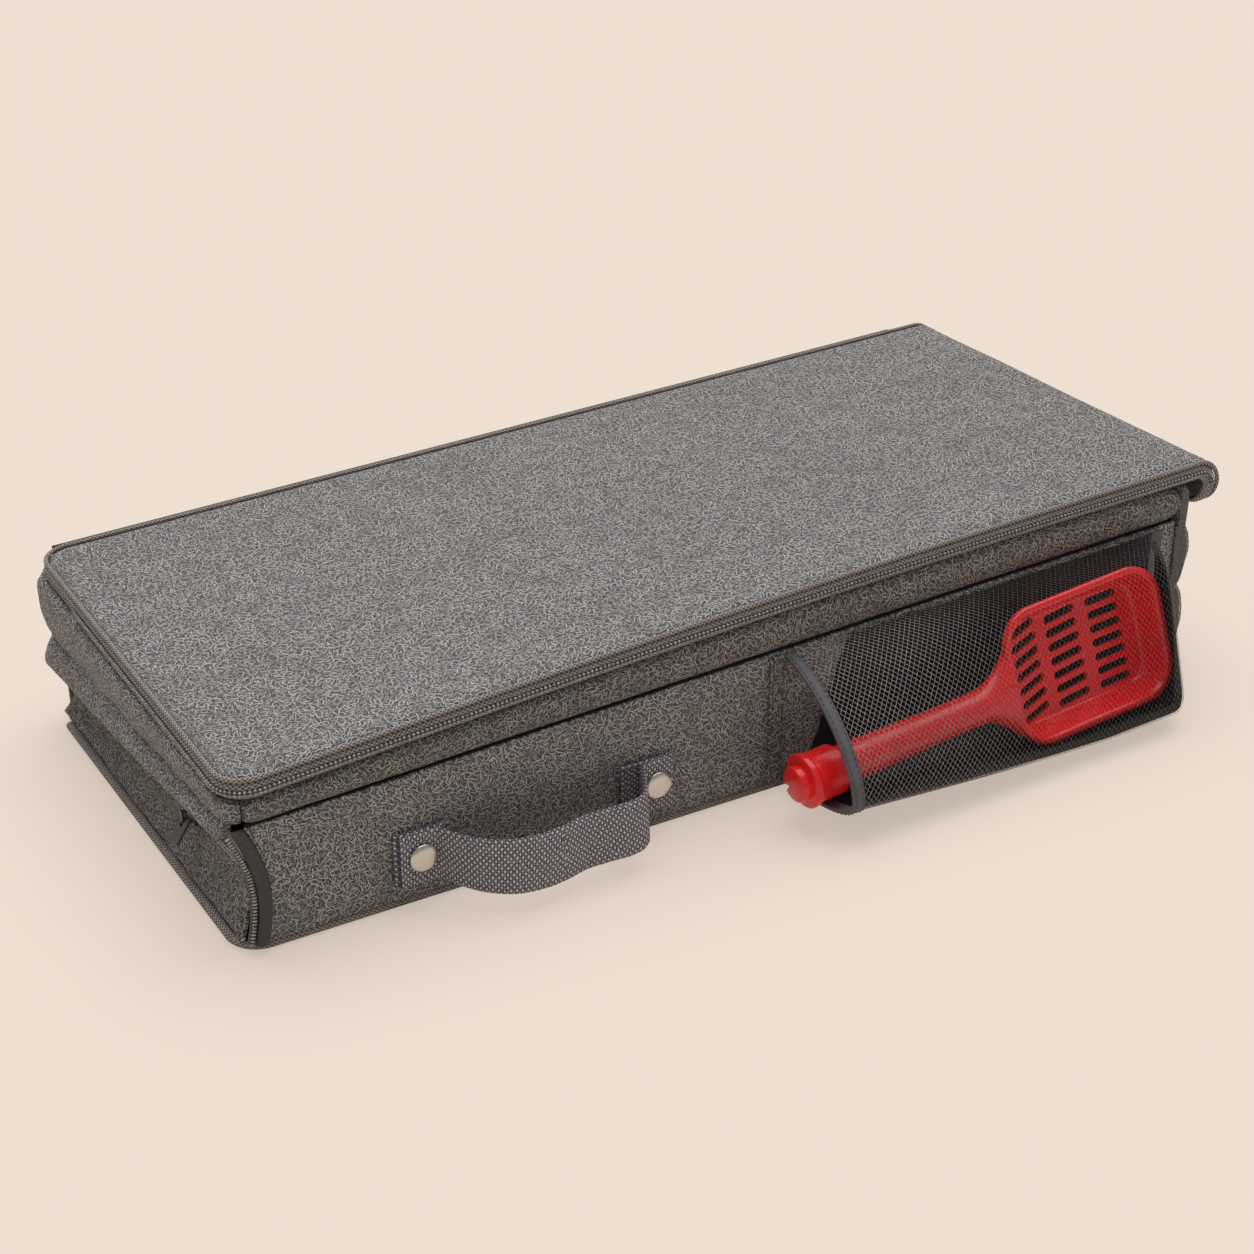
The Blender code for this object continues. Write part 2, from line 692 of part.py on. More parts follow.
def side_fold(reach, upper):
    """One soft fold. The upper one narrows to a neck that goes up inside the lid's rolled end."""
    shape = bmesh.new()
    rings = []
    depth_shares = (0.0, 0.02, 0.06, 0.12, 0.25, 0.4, 0.55, 0.7, 0.85, 0.94, 0.98, 1.0)
    for share in depth_shares:
        y = between(FRONT_WALL_FACE, BASE_BACK - CLEARANCE, share)
        face = lid_top(LENGTH, y)
        pinch = between(WALL_FOOT, face - SIDE_FOLD_DROP, SIDE_FOLD_PINCH_SHARE)
        low, high = (pinch, face - SIDE_FOLD_DROP) if upper else (WALL_FOOT, pinch - CLEARANCE)
        fullness = math.sqrt(max(0.12, 1.0 - (2 * share - 1.0) ** 8))
        neck = FOLD_START + FOLD_NECK_REACH * fullness
        ring = []
        for k in range(9):
            turn = math.pi * k / 8
            x = FOLD_START + reach * fullness * math.sin(turn) ** 0.8
            if upper and k > 4:
                x = max(x, neck)
            ring.append((x, y, between(low, high, 0.5 * (1.0 - math.cos(turn)))))
        if upper:
            ceiling = face - LID_THICKNESS - FABRIC
            ring.append((neck, y, ceiling - 0.5 * LIP_RADIUS))
            ring.append((between(FOLD_START, neck, 0.75), y, ceiling))
            ring += [(FOLD_START, y, ceiling), (FOLD_START, y, high)]
        ring += [(FOLD_START - FABRIC, y, high), (FOLD_START - FABRIC, y, low)]
        rings.append(ring)
    add_skin(shape, rings)
    return shape


node("right_lower_fold", side_fold(LOWER_FOLD_REACH, False), FINISH["fabric"], base)
node("right_upper_fold", side_fold(UPPER_FOLD_REACH, True), FINISH["fabric"], base)


# The back panel

def spine_layer(back, thickness, inset):
    """One upright layer. Its top follows the lid's slope."""
    shape = bmesh.new()
    grids = []
    for y in (back, back - thickness):
        grid = []
        for i in range(LONG_STEPS + 1):
            x = between(SPINE_INSET + inset, LENGTH - SPINE_INSET - inset, i / LONG_STEPS)
            top = lid_top(x, DEPTH) - LID_THICKNESS - FOLD_GAP
            grid.append([(x, y, between(FOLD_GAP + inset, top - inset, k / 3)) for k in range(4)])
        grids.append(grid)
    add_slab(shape, *grids)
    return shape


SPINE_BOARD_BACK = DEPTH - SPINE_PADDING - CLEARANCE
SPINE_LINER_BACK = SPINE_BOARD_BACK - BOARD - CLEARANCE
node("back_panel_cover", spine_layer(DEPTH, SPINE_PADDING, 0.0), FINISH["fabric"], spine)
node("back_panel_board", spine_layer(SPINE_BOARD_BACK, BOARD, FABRIC), FINISH["board"], spine)
node("back_panel_liner", spine_layer(SPINE_LINER_BACK, FABRIC, FABRIC), FINISH["liner"], spine)

# The lid
LID_BACK = DEPTH - CLEARANCE


def lid_layer(inset, drop, thickness, right, roll):
    """One layer of the lid, with round corners, lying on the lid's sloping face."""
    shape = bmesh.new()
    corner = LID_CORNER - inset
    columns = stations(inset, right, corner, LONG_STEPS)
    end = right - corner
    if end > LIP_START:
        flat = [x for x in columns if x < LIP_START - corner]
        lip = [between(LIP_START, end, i / LIP_STEPS) for i in range(LIP_STEPS)]
        columns = flat + lip + columns[-CORNER_STEPS - 1:]
    outer = []
    inner = []
    for x in columns:
        cut = rounding(min(x - inset, right - x), corner)
        upper = []
        lower = []
        for share in EDGE_SHARES:
            y = between(inset + cut, LID_BACK - inset - cut, share)
            edge = min(y - inset - cut, LID_BACK - inset - cut - y, x - inset, right - x)
            sink = roll * (1.0 - min(1.0, edge / LID_PADDING)) ** 2
            top = lid_top(x, y) - drop
            upper.append(rolled_over(x, y, top - sink))
            lower.append(rolled_over(x, y, top - thickness))
        outer.append(upper)
        inner.append(lower)
    add_slab(shape, outer, inner)
    return shape


COVER_INSET = BAND_THICKNESS + 2 * CLEARANCE
LID_BOARD_DROP = LID_PADDING + CLEARANCE
LID_LINER_DROP = LID_BOARD_DROP + BOARD + CLEARANCE
LID_COVER_SHAPE = lid_layer(COVER_INSET, 0.0, LID_PADDING, LID_RIGHT - COVER_INSET, LID_EDGE_ROLL)
LID_BOARD_SHAPE = lid_layer(COVER_INSET + FABRIC, LID_BOARD_DROP, BOARD, LIP_START, 0.0)
LID_LINER_SHAPE = lid_layer(COVER_INSET, LID_LINER_DROP, FABRIC, LID_RIGHT - COVER_INSET, 0.0)
node("lid_cover", LID_COVER_SHAPE, FINISH["fabric"], lid)
node("lid_board", LID_BOARD_SHAPE, FINISH["board"], lid)
node("lid_liner", LID_LINER_SHAPE, FINISH["liner"], lid)


def lid_outline():
    """Points round the lid's edge with the direction that faces out of it: (x, y, out)."""
    points = []
    corners = (
        (LID_CORNER, LID_CORNER, math.pi),
        (LID_RIGHT - LID_CORNER, LID_CORNER, 1.5 * math.pi),
        (LID_RIGHT - LID_CORNER, LID_BACK - LID_CORNER, 0.0),
        (LID_CORNER, LID_BACK - LID_CORNER, 0.5 * math.pi),
    )
    flat = (LIP_START - LID_CORNER) / (LID_RIGHT - 2 * LID_CORNER)
    long_shares = [flat * i / LONG_STEPS for i in range(1, LONG_STEPS + 1)]
    long_shares += [between(flat, 1.0, i / LIP_STEPS) for i in range(1, LIP_STEPS)]
    short_shares = [2 * i / LONG_STEPS for i in range(1, LONG_STEPS // 2)]
    back_shares = [1.0 - share for share in reversed(long_shares)]
    straight = (long_shares, short_shares, back_shares, short_shares)
    for side, (x, y, start) in enumerate(corners):
        for i in range(CORNER_STEPS + 1):
            turn = start + 0.5 * math.pi * i / CORNER_STEPS
            out = (math.cos(turn), math.sin(turn))
            points.append((x + LID_CORNER * out[0], y + LID_CORNER * out[1], out))
        after = corners[(side + 1) % 4]
        end = (after[0] + LID_CORNER * out[0], after[1] + LID_CORNER * out[1])
        here = points[-1]
        for share in straight[side]:
            points.append((between(here[0], end[0], share), between(here[1], end[1], share), out))
    return points


def edge_ring(section, last=None):
    """Sweeps a section of (out, up) round the lid's edge, all the way unless it ends at a last point."""
    shape = bmesh.new()
    rings = []
    for x, y, out in lid_outline()[:last]:
        ring = []
        for away, up in section:
            px = x + out[0] * away
            py = y + out[1] * away
            ring.append(rolled_over(px, py, lid_top(px, py) + up))
        rings.append(ring)
    add_skin(shape, rings, closed=last is None)
    return shape


def bead(away, up, radius, sides):
    turns = [2 * math.pi * i / sides for i in range(sides)]
    return [(away + radius * math.cos(t), up + radius * math.sin(t)) for t in turns]


PIPING_UP = -PIPING_RADIUS + 0.5 * CLEARANCE
BAND_HIGH = PIPING_UP - PIPING_RADIUS - CLEARANCE
BAND_SECTION = [
    (-BAND_THICKNESS, BAND_HIGH),
    (-BAND_THICKNESS, -LID_THICKNESS),
    (-0.4 * BAND_THICKNESS, -LID_THICKNESS),
    (0.0, BAND_HIGH - 0.75 * (LID_THICKNESS + BAND_HIGH)),
    (0.0, BAND_HIGH - 0.2 * (LID_THICKNESS + BAND_HIGH)),
    (-0.4 * BAND_THICKNESS, BAND_HIGH),
]
PIPING_SECTION = bead(-PIPING_RADIUS - 0.5 * CLEARANCE, PIPING_UP, PIPING_RADIUS, 8)
COIL_SECTION = bead(COIL_RADIUS + CLEARANCE, -COIL_DROP, COIL_RADIUS, 6)
COIL_LAST = 2 * CORNER_STEPS + LONG_STEPS + LIP_STEPS + 1
node("lid_band", edge_ring(BAND_SECTION), FINISH["tape"], lid)
node("lid_piping", edge_ring(PIPING_SECTION), FINISH["tape"], lid)
node("lid_zip_coil", edge_ring(COIL_SECTION, COIL_LAST), FINISH["coil"], lid)


FAR_WALL_START = END_FOLD_THICKNESS + 2 * CLEARANCE


def end_fold_line():
    """Places along the left fold, from its rear end round the front corner: (x, y, out)."""
    middle = (FAR_WALL_START - CLEARANCE, END_FOLD_CORNER)
    radius = middle[0] - 0.5 * END_FOLD_THICKNESS
    rear = LID_BACK - CLEARANCE
    line = [(middle[0] - radius, between(rear, middle[1], i / 14), (-1.0, 0.0)) for i in range(15)]
    for i in range(1, 6):
        turn = 0.5 * math.pi * i / 5
        out = (-math.cos(turn), -math.sin(turn))
        line.append((middle[0] + radius * out[0], middle[1] + radius * out[1], out))
    return line


def left_end_fold():
    """The soft side fold that hangs from the lid. Its two rolls run into one at the front corner."""
    shape = bmesh.new()
    outer = []
    inner = []
    thick = 0.5 * END_FOLD_THICKNESS
    for x, y, out in end_fold_line():
        front = 1.0 - min(1.0, max(0.0, y - END_FOLD_CORNER) / END_FOLD_RISE)
        low = between(END_FOLD_FRONT_HEIGHT, END_FOLD_BACK_HEIGHT, y / END_BACK)
        low = max(low, between(low, far_wall_underside(0.0) + CLEARANCE, front))
        high = lid_top(0.0, y) - LID_THICKNESS - 2 * CLEARANCE
        fullness = between(0.65, 1.0, min(1.0, 2 * y / DEPTH))
        rear = min(1.0, (LID_BACK - y) / END_FOLD_THICKNESS)
        line = []
        back = []
        for k in range(15):
            up = k / 14
            above = (up - END_FOLD_CREASE_SHARE) / (1.0 - END_FOLD_CREASE_SHARE)
            roll = above if above > 0.0 else up / END_FOLD_CREASE_SHARE
            one = abs(math.sin(math.pi * up)) ** 0.6
            two = between(0.30, 1.0, abs(math.sin(math.pi * roll)) ** 0.6) if 0 < k < 14 else 0.0
            away = END_FOLD_BULGE * fullness * rear * between(two, one, front)
            deep = thick * between(0.2, 1.0, one)
            z = between(low, high, 0.5 - 0.5 * math.cos(math.pi * up))
            line.append((x + out[0] * away, y + out[1] * away, z))
            back.append((x - out[0] * deep, y - out[1] * deep, z))
        outer.append(line)
        inner.append(back)
    add_slab(shape, outer, inner)
    return shape


node("left_end_fold", left_end_fold(), FINISH["tape"], lid)

# The far wall: a thick padded nose in front, and a board and liner on its upper side
FAR_WALL_END = FRONT_WALL_RIGHT + FABRIC
LAYER_STEP = BOARD + FABRIC + 2 * CLEARANCE


def far_wall_pad():
    shape = bmesh.new()
    rings = []
    end_shares = [0.0, 0.004, 0.012]
    middle_shares = [between(0.04, 0.96, i / 12) for i in range(13)]
    for share in end_shares + middle_shares + [1.0 - e for e in reversed(end_shares)]:
        x = between(FAR_WALL_START, FAR_WALL_END, share)
        near_end = min(1.0, min(share, 1.0 - share) / end_shares[-1])
        fullness = 0.6 + 0.4 * math.sqrt(near_end)
        high = lid_top(x, 0.0) - LID_THICKNESS - CLEARANCE
        low = far_wall_underside(x)
        middle = between(low, high, 0.5)
        half = 0.5 * (high - low) * fullness
        nose = [-math.cos(math.pi * k / 6) for k in range(7)]
        ring = []
        for k, across in enumerate(nose):
            y = -FAR_WALL_PROUD + FAR_WALL_NOSE * (1.0 - math.sin(math.pi * k / 6))
            ring.append((x, y, middle + half * across))
        step = FAR_WALL_NOSE + FABRIC
        under = min(middle + half, lid_top(x, step) - LID_THICKNESS - CLEARANCE)
        ring.append((x, step, under))
        ring.append((x, step, under - LAYER_STEP))
        back_high = lid_top(x, FAR_WALL_HEIGHT) - LID_THICKNESS - CLEARANCE - LAYER_STEP
        ring.append((x, FAR_WALL_HEIGHT - FAR_WALL_NOSE, back_high))
        back_low = min(middle - half, back_high - 6 * FABRIC)
        ring.append((x, FAR_WALL_HEIGHT, back_high - 2 * FABRIC))
        ring.append((x, FAR_WALL_HEIGHT, back_low + 2 * FABRIC))
        ring.append((x, FAR_WALL_HEIGHT - FAR_WALL_NOSE, back_low))
        rings.append(ring)
    add_skin(shape, rings)
    return shape


node("far_wall_pad", far_wall_pad(), FINISH["dark_fabric"], far_wall)


def far_wall_layer(drop, thickness):
    shape = bmesh.new()
    outer = []
    inner = []
    front = FAR_WALL_NOSE + FABRIC + 2 * CLEARANCE
    inset = FABRIC + 2 * CLEARANCE
    for i in range(LONG_STEPS + 1):
        x = between(FAR_WALL_START + FAR_WALL_NOSE, FAR_WALL_END - FAR_WALL_NOSE, i / LONG_STEPS)
        line = []
        for k in range(5):
            y = between(front, FAR_WALL_HEIGHT - FAR_WALL_NOSE - inset, k / 4)
            line.append((x, y, lid_top(x, y) - LID_THICKNESS - drop))
        outer.append(line)
        inner.append([(x, y, z - thickness) for x, y, z in line])
    add_slab(shape, outer, inner)
    return shape


node("far_wall_liner", far_wall_layer(CLEARANCE, FABRIC), FINISH["liner"], far_wall)
node("far_wall_board", far_wall_layer(2 * CLEARANCE + FABRIC, BOARD - CLEARANCE), FINISH["board"], far_wall)

# The webbing handle
PATCH_FACE = FRONT_WALL_FACE - CLEARANCE - STRAP_THICKNESS
STRAP_FACE = PATCH_FACE - CLEARANCE - STRAP_THICKNESS
strap = pivot("handle_strap", (between(RIVET_LEFT, RIVET_RIGHT, 0.5), STRAP_FACE, RIVET_HEIGHT), base)


def strap_line(share):
    """The middle of the webbing's back face: it bows out from the wall and dips between the rivets."""
    x = between(STRAP_LEFT, STRAP_RIGHT, share)
    held = RIVET_HEAD_RADIUS + STRAP_THICKNESS
    free = (x - RIVET_LEFT - held) / (RIVET_RIGHT - RIVET_LEFT - 2 * held)
    free = min(1.0, max(0.0, free))
    bow = STRAP_BOW * through(STRAP_BOW_SHARES + STRAP_RETURN_SHARES, free)
    dip = STRAP_DIP * math.sin(math.pi * free) ** 0.7
    return x, STRAP_FACE + STRAP_THICKNESS - bow, STRAP_HEIGHT - dip


def handle_strap():
    shape = bmesh.new()
    outer = []
    inner = []
    steps = 64
    for i in range(steps + 1):
        share = i / steps
        x, y, z = strap_line(share)
        before = Vector(strap_line(max(0.0, share - 0.01)))
        after = Vector(strap_line(min(1.0, share + 0.01)))
        run = (after - before).normalized()
        away = Vector((run.y, -run.x, 0.0)).normalized()
        bow = (STRAP_FACE + STRAP_THICKNESS - y) / STRAP_BOW
        face = []
        back = []
        for k in range(5):
            up = k / 4 - 0.5
            lean = 0.12 * STRAP_WIDTH * bow * up
            point = Vector((x, y + lean, z + STRAP_WIDTH * up))
            back.append(point)
            face.append(point + away * STRAP_THICKNESS)
        outer.append(face)
        inner.append(back)
    add_slab(shape, outer, inner)
    return shape


strap_body = node("handle_strap", handle_strap(), FINISH["webbing"], strap)


def webbing_patch(left):
    shape = bmesh.new()
    low = STRAP_HEIGHT - 0.5 * PATCH_WIDTH
    middle = (left + 0.5 * PATCH_LENGTH, PATCH_FACE + 0.5 * STRAP_THICKNESS, low + 0.5 * PATCH_WIDTH)
    axes = (Vector((1, 0, 0)), Vector((0, 1, 0)), Vector((0, 0, 1)))
    sizes = (PATCH_LENGTH, STRAP_THICKNESS, PATCH_WIDTH)
    add_block(shape, Vector(middle), sizes, axes, 0.2 * STRAP_THICKNESS)
    return shape


left_patch = node("handle_patch_left", webbing_patch(PATCH_LEFT), FINISH["webbing"], base)
right_patch = node("handle_patch_right", webbing_patch(PATCH_RIGHT - PATCH_LENGTH), FINISH["webbing"], base)


def rivet_holes():
    shape = bmesh.new()
    radius = RIVET_SHANK_RADIUS + CLEARANCE
    for x in (RIVET_LEFT, RIVET_RIGHT):
        start = (x, -OVERRUN, RIVET_HEIGHT)
        add_turned(shape, start, (0, 1, 0), [(radius, 0.0), (radius, 2 * OVERRUN)], 12)
    return shape


RIVETED = [strap_body, left_patch, right_patch, wall_cover, wall_board, wall_liner]
cutter("rivet_holes", rivet_holes(), base, RIVETED)


def rivet(x):
    """A domed cap with its shank, through the webbing, the patch and the wall."""
    shape = bmesh.new()
    back = WALL_INNER_FACE + CLEARANCE + WASHER_THICKNESS + CLEARANCE
    seat = STRAP_FACE - CLEARANCE
    profile = [(RIVET_SHANK_RADIUS, back), (RIVET_SHANK_RADIUS, seat), (RIVET_HEAD_RADIUS, seat)]
    profile.append((RIVET_HEAD_RADIUS, seat - RIVET_RIM))
    for k in range(1, 5):
        turn = 0.5 * math.pi * k / 5
        profile.append((RIVET_HEAD_RADIUS * math.cos(turn), seat - RIVET_RIM - RIVET_DOME * math.sin(turn)))
    add_turned(shape, (x, 0.0, RIVET_HEIGHT), (0, 1, 0), profile, 24)
    return shape


def rivet_washer(x):
    """The ring behind the wall that the shank is set in."""
    shape = bmesh.new()
    face = WALL_INNER_FACE + CLEARANCE
    bore = RIVET_SHANK_RADIUS + CLEARANCE
    section = (
        (WASHER_RADIUS, face),
        (WASHER_RADIUS, face + WASHER_THICKNESS),
        (bore, face + WASHER_THICKNESS),
        (bore, face),
    )
    turns = [2 * math.pi * i / 20 for i in range(20)]
    rings = [[(x + r * math.cos(t), y, RIVET_HEIGHT + r * math.sin(t)) for t in turns] for r, y in section]
    add_skin(shape, rings, closed=True)
    return shape


for side_name, rivet_place in (("left", RIVET_LEFT), ("right", RIVET_RIGHT)):
    node("rivet_" + side_name, rivet(rivet_place), FINISH["rivet"], base)
    node("rivet_washer_" + side_name, rivet_washer(rivet_place), FINISH["rivet"], base)

# The mesh pocket. Its section runs from the wall out, down and back to the wall.
POCKET_BACK = FRONT_WALL_FACE - CLEARANCE


def pocket_section(x, grow=0.0):
    """Points of the pocket's outer face at a place along it, from its top seam to its bottom seam."""
    end = min(1.0, max(0.0, (POCKET_RIGHT - x) / POCKET_END_RUN))
    share = (x - POCKET_LEFT) / (POCKET_RIGHT - POCKET_LEFT)
    fullness = math.sin(0.5 * math.pi * end) ** 0.6 * between(1.0, POCKET_END_DEPTH_SHARE, share)
    depth = (POCKET_DEPTH - MESH_THICKNESS) * fullness + MESH_THICKNESS * 5 + grow
    top = far_wall_underside(x) - POCKET_TOP_DROP
    foot = POCKET_MOUTH_FOOT - 0.35 * POCKET_MOUTH_FOOT * math.sin(math.pi * share)
    foot = between(POCKET_END_FOOT, foot, end ** 0.5)
    tight = min(1.0, share / POCKET_TIGHT_SHARE)
    upper = between(MOUTH_SQUARENESS, END_SQUARENESS, tight)
    lower = between(MOUTH_LOWER_SQUARENESS, END_LOWER_SQUARENESS, tight)
    waist = foot + between(POCKET_WAIST_SHARE, POCKET_END_WAIST_SHARE, tight) * (top - foot)
    points = []
    for k in range(11):
        turn = 0.5 * math.pi * k / 10
        rise = math.cos(turn) ** upper if k < 10 else 0.0
        lean = 1.0 - POCKET_END_LEAN_SHARE * tight * rise
        points.append((x, POCKET_BACK - depth * lean * math.sin(turn) ** upper, between(waist, top, rise)))
    for k in range(1, 6):
        turn = 0.5 * math.pi * k / 5
        y = POCKET_BACK - depth * (math.cos(turn) ** lower if k < 5 else 0.0)
        points.append((x, y, between(waist, foot, math.sin(turn) ** lower)))
    return points


def offset_section(points, distance):
    """The same section drawn in towards the wall by a distance, square to the line."""
    moved = []
    for i, point in enumerate(points):
        before = points[max(0, i - 1)]
        after = points[min(len(points) - 1, i + 1)]
        run = Vector((0.0, after[1] - before[1], after[2] - before[2])).normalized()
        inward = Vector((0.0, -run.z, run.y))
        shifted = Vector(point) + inward * distance
        moved.append((shifted.x, min(shifted.y, POCKET_BACK), shifted.z))
    return moved


def mesh_pocket():
    shape = bmesh.new()
    outer = []
    inner = []
    length_shares = (0.0, 0.08, 0.2, 0.32, 0.44, 0.56, 0.68, 0.78, 0.85, 0.90, 0.94, 0.97, 0.99, 1.0)
    for share in length_shares:
        section = pocket_section(between(POCKET_LEFT, POCKET_RIGHT, share))
        outer.append(section)
        inner.append(offset_section(section, MESH_THICKNESS))
    add_slab(shape, outer, inner)
    return shape


node("mesh_pocket", mesh_pocket(), FINISH["mesh"], base)


def pocket_mouth_binding():
    """The folded tape that closes the edge of the mouth. It stands a little proud of the mesh."""
    shape = bmesh.new()
    right = POCKET_LEFT - CLEARANCE
    left = right - MOUTH_BINDING_WIDTH
    section = pocket_section(POCKET_LEFT, 0.5 * MESH_THICKNESS)
    thin = offset_section(section, MOUTH_BINDING_THICKNESS)
    rings = []
    for (x, y, z), (x, back_y, back_z) in zip(section, thin):
        rings.append([(left, y, z), (right, y, z), (right, back_y, back_z), (left, back_y, back_z)])
    add_skin(shape, rings)
    return shape


node("pocket_mouth_binding", pocket_mouth_binding(), FINISH["slate"], base)


def wall_tape(name, x, width, low, high, finish):
    """A flat tape sewn to the front of the wall."""
    shape = bmesh.new()
    middle = Vector((x + 0.5 * width, POCKET_BACK - 0.5 * FABRIC, between(low, high, 0.5)))
    axes = (Vector((1, 0, 0)), Vector((0, 1, 0)), Vector((0, 0, 1)))
    add_block(shape, middle, (width, FABRIC, high - low), axes, 0.2 * FABRIC)
    node(name, shape, FINISH[finish], base)


TAPE_LEFT = POCKET_LEFT - 2 * CLEARANCE - MOUTH_BINDING_WIDTH - SEAM_TAPE_WIDTH
TAPE_HIGH = front_wall_top(TAPE_LEFT) - CLEARANCE
wall_tape("pocket_seam_tape", TAPE_LEFT, SEAM_TAPE_WIDTH, WALL_FOOT, TAPE_HIGH, "binding")
END_TAPE_LEFT = POCKET_RIGHT + CLEARANCE
END_TAPE_SPAN = FRONT_WALL_RIGHT - END_TAPE_LEFT - CLEARANCE
END_TAPE_HIGH = front_wall_top(POCKET_RIGHT) - CLEARANCE
wall_tape("pocket_end_tape", END_TAPE_LEFT, END_TAPE_SPAN, WALL_FOOT, END_TAPE_HIGH, "slate")

# The scoop. Its own axes run along the handle, across the dish, and out of the dish.
ALONG = Vector(SCOOP_ALONG).normalized()
OUT = ALONG.cross(Vector(SCOOP_ACROSS)).normalized()
ACROSS = OUT.cross(ALONG)
scoop = pivot("scoop", SCOOP_PLACE, base)


def scoop_point(along, across, out):
    return Vector(SCOOP_PLACE) + ALONG * along + ACROSS * across + OUT * out


def dish_height(along, across):
    """How far the dish's face lies from its rim plane: a flat rim, a slope and a flat floor."""
    half_length = 0.5 * SCOOP_LENGTH
    half_width = 0.5 * SCOOP_WIDTH
    side = abs(along - half_length) - (half_length - SCOOP_CORNER)
    end = abs(across) - (half_width - SCOOP_CORNER)
    outside = math.hypot(max(side, 0.0), max(end, 0.0)) + min(max(side, end), 0.0)
    inside = SCOOP_CORNER - outside
    share = min(1.0, max(0.0, (inside - SCOOP_RIM) / SCOOP_SLOPE))
    return -SCOOP_DEPTH * (share * share * (3.0 - 2.0 * share))


def dish():
    shape = bmesh.new()
    rim = SCOOP_RIM
    steps = [0.0] + [rim + SCOOP_SLOPE * i / 4 for i in range(5)]
    columns = steps + [SCOOP_CORNER, 0.5 * SCOOP_LENGTH, SCOOP_LENGTH - SCOOP_CORNER]
    columns += [SCOOP_LENGTH - s for s in reversed(steps)]
    columns = sorted(columns + [0.35 * rim, SCOOP_LENGTH - 0.35 * rim])
    nudge = 0.1 * SCOOP_WALL
    outer = []
    inner = []
    for u in columns:
        cut = rounding(min(u, SCOOP_LENGTH - u), SCOOP_CORNER)
        half = 0.5 * SCOOP_WIDTH - cut
        rows = [-half + s for s in steps] + [0.0] + [half - s for s in reversed(steps)]
        line = []
        back = []
        for v in rows:
            height = dish_height(u, v)
            slope_u = (dish_height(u + nudge, v) - dish_height(u - nudge, v)) / (2 * nudge)
            slope_v = (dish_height(u, v + nudge) - dish_height(u, v - nudge)) / (2 * nudge)
            normal = Vector((-slope_u, -slope_v, 1.0)).normalized()
            line.append(scoop_point(u, v, height))
            under = Vector((u, v, height)) - normal * SCOOP_WALL
            back.append(scoop_point(*under))
        outer.append(line)
        inner.append(back)
    add_slab(shape, outer, inner)
    return shape


scoop_body = node("scoop", dish(), FINISH["red"], scoop)


def scoop_handle():
    """The round handle: it spreads into the dish's end wall, and swells to a collar at its far end."""
    shape = bmesh.new()
    rings = []
    profile = [
        (-HANDLE_LENGTH - COLLAR_LENGTH, COLLAR_RADIUS, COLLAR_RADIUS),
        (-HANDLE_LENGTH, COLLAR_RADIUS, COLLAR_RADIUS),
        (-HANDLE_LENGTH, HANDLE_END_RADIUS, HANDLE_END_RADIUS),
        (-0.5 * HANDLE_LENGTH, HANDLE_RADIUS, HANDLE_RADIUS),
        (-NECK_LENGTH, HANDLE_RADIUS, HANDLE_RADIUS),
    ]
    for k in range(1, 6):
        share = k / 5
        spread = between(HANDLE_RADIUS, NECK_SPREAD, share ** 2.2)
        thick = between(HANDLE_RADIUS, 0.62 * HANDLE_RADIUS, share)
        profile.append((between(-NECK_LENGTH, 0.8 * SCOOP_RIM, share), spread, thick))
    for along, wide, thick in profile:
        ring = []
        for i in range(20):
            turn = 2 * math.pi * i / 20
            across = -HANDLE_DROP + wide * math.cos(turn)
            ring.append(scoop_point(along, across, -HANDLE_SET_BACK - SCOOP_WALL + thick * math.sin(turn)))
        rings.append(ring)
    add_skin(shape, rings)
    return shape


cutter("scoop_handle", scoop_handle(), scoop, [scoop_body], "UNION")


def scoop_slots():
    """Three columns of round-ended slots. The column by the handle is shorter and slants."""
    shape = bmesh.new()
    columns = (
        (0.215, 7, SLOT_SHORT_LENGTH, 0.30),
        (0.455, 7, SLOT_LENGTH, 0.08),
        (0.725, 7, SLOT_LENGTH, 0.0),
    )
    for place_share, count, length, slant in columns:
        for i in range(count):
            across = (i - 0.5 * (count - 1)) * SLOT_PITCH
            ring = []
            for k in range(8):
                turn = 2 * math.pi * (k + 0.5) / 8
                end = 0.5 * (length - SLOT_WIDTH) * (1.0 if math.cos(turn) > 0 else -1.0)
                u = end + 0.5 * SLOT_WIDTH * math.cos(turn)
                v = 0.5 * SLOT_WIDTH * math.sin(turn)
                ring.append((place_share * SCOOP_LENGTH + u, across + v + slant * u))
            floor = -SCOOP_DEPTH
            rings = [[scoop_point(u, v, floor + out) for u, v in ring] for out in (-OVERRUN, 0.5 * OVERRUN)]
            add_skin(shape, rings)
    return shape


cutter("scoop_slots", scoop_slots(), scoop, [scoop_body])
HANDLE_END = scoop_point(-HANDLE_LENGTH - COLLAR_LENGTH, -HANDLE_DROP, -HANDLE_SET_BACK - SCOOP_WALL)
bore = bmesh.new()
BORE_RADIUS = CAP_SPIGOT_RADIUS + CAP_BORE_PLAY
BORE_DEPTH = CAP_SPIGOT_LENGTH + 2 * CLEARANCE
add_turned(bore, HANDLE_END, ALONG, [(BORE_RADIUS, -OVERRUN), (BORE_RADIUS, BORE_DEPTH)], 20)
cutter("cap_bore", bore, scoop, [scoop_body])

# The cap: a spigot in the handle's bore, a flange and a notched knob
cap = pivot("scoop_cap", tuple(HANDLE_END), scoop)


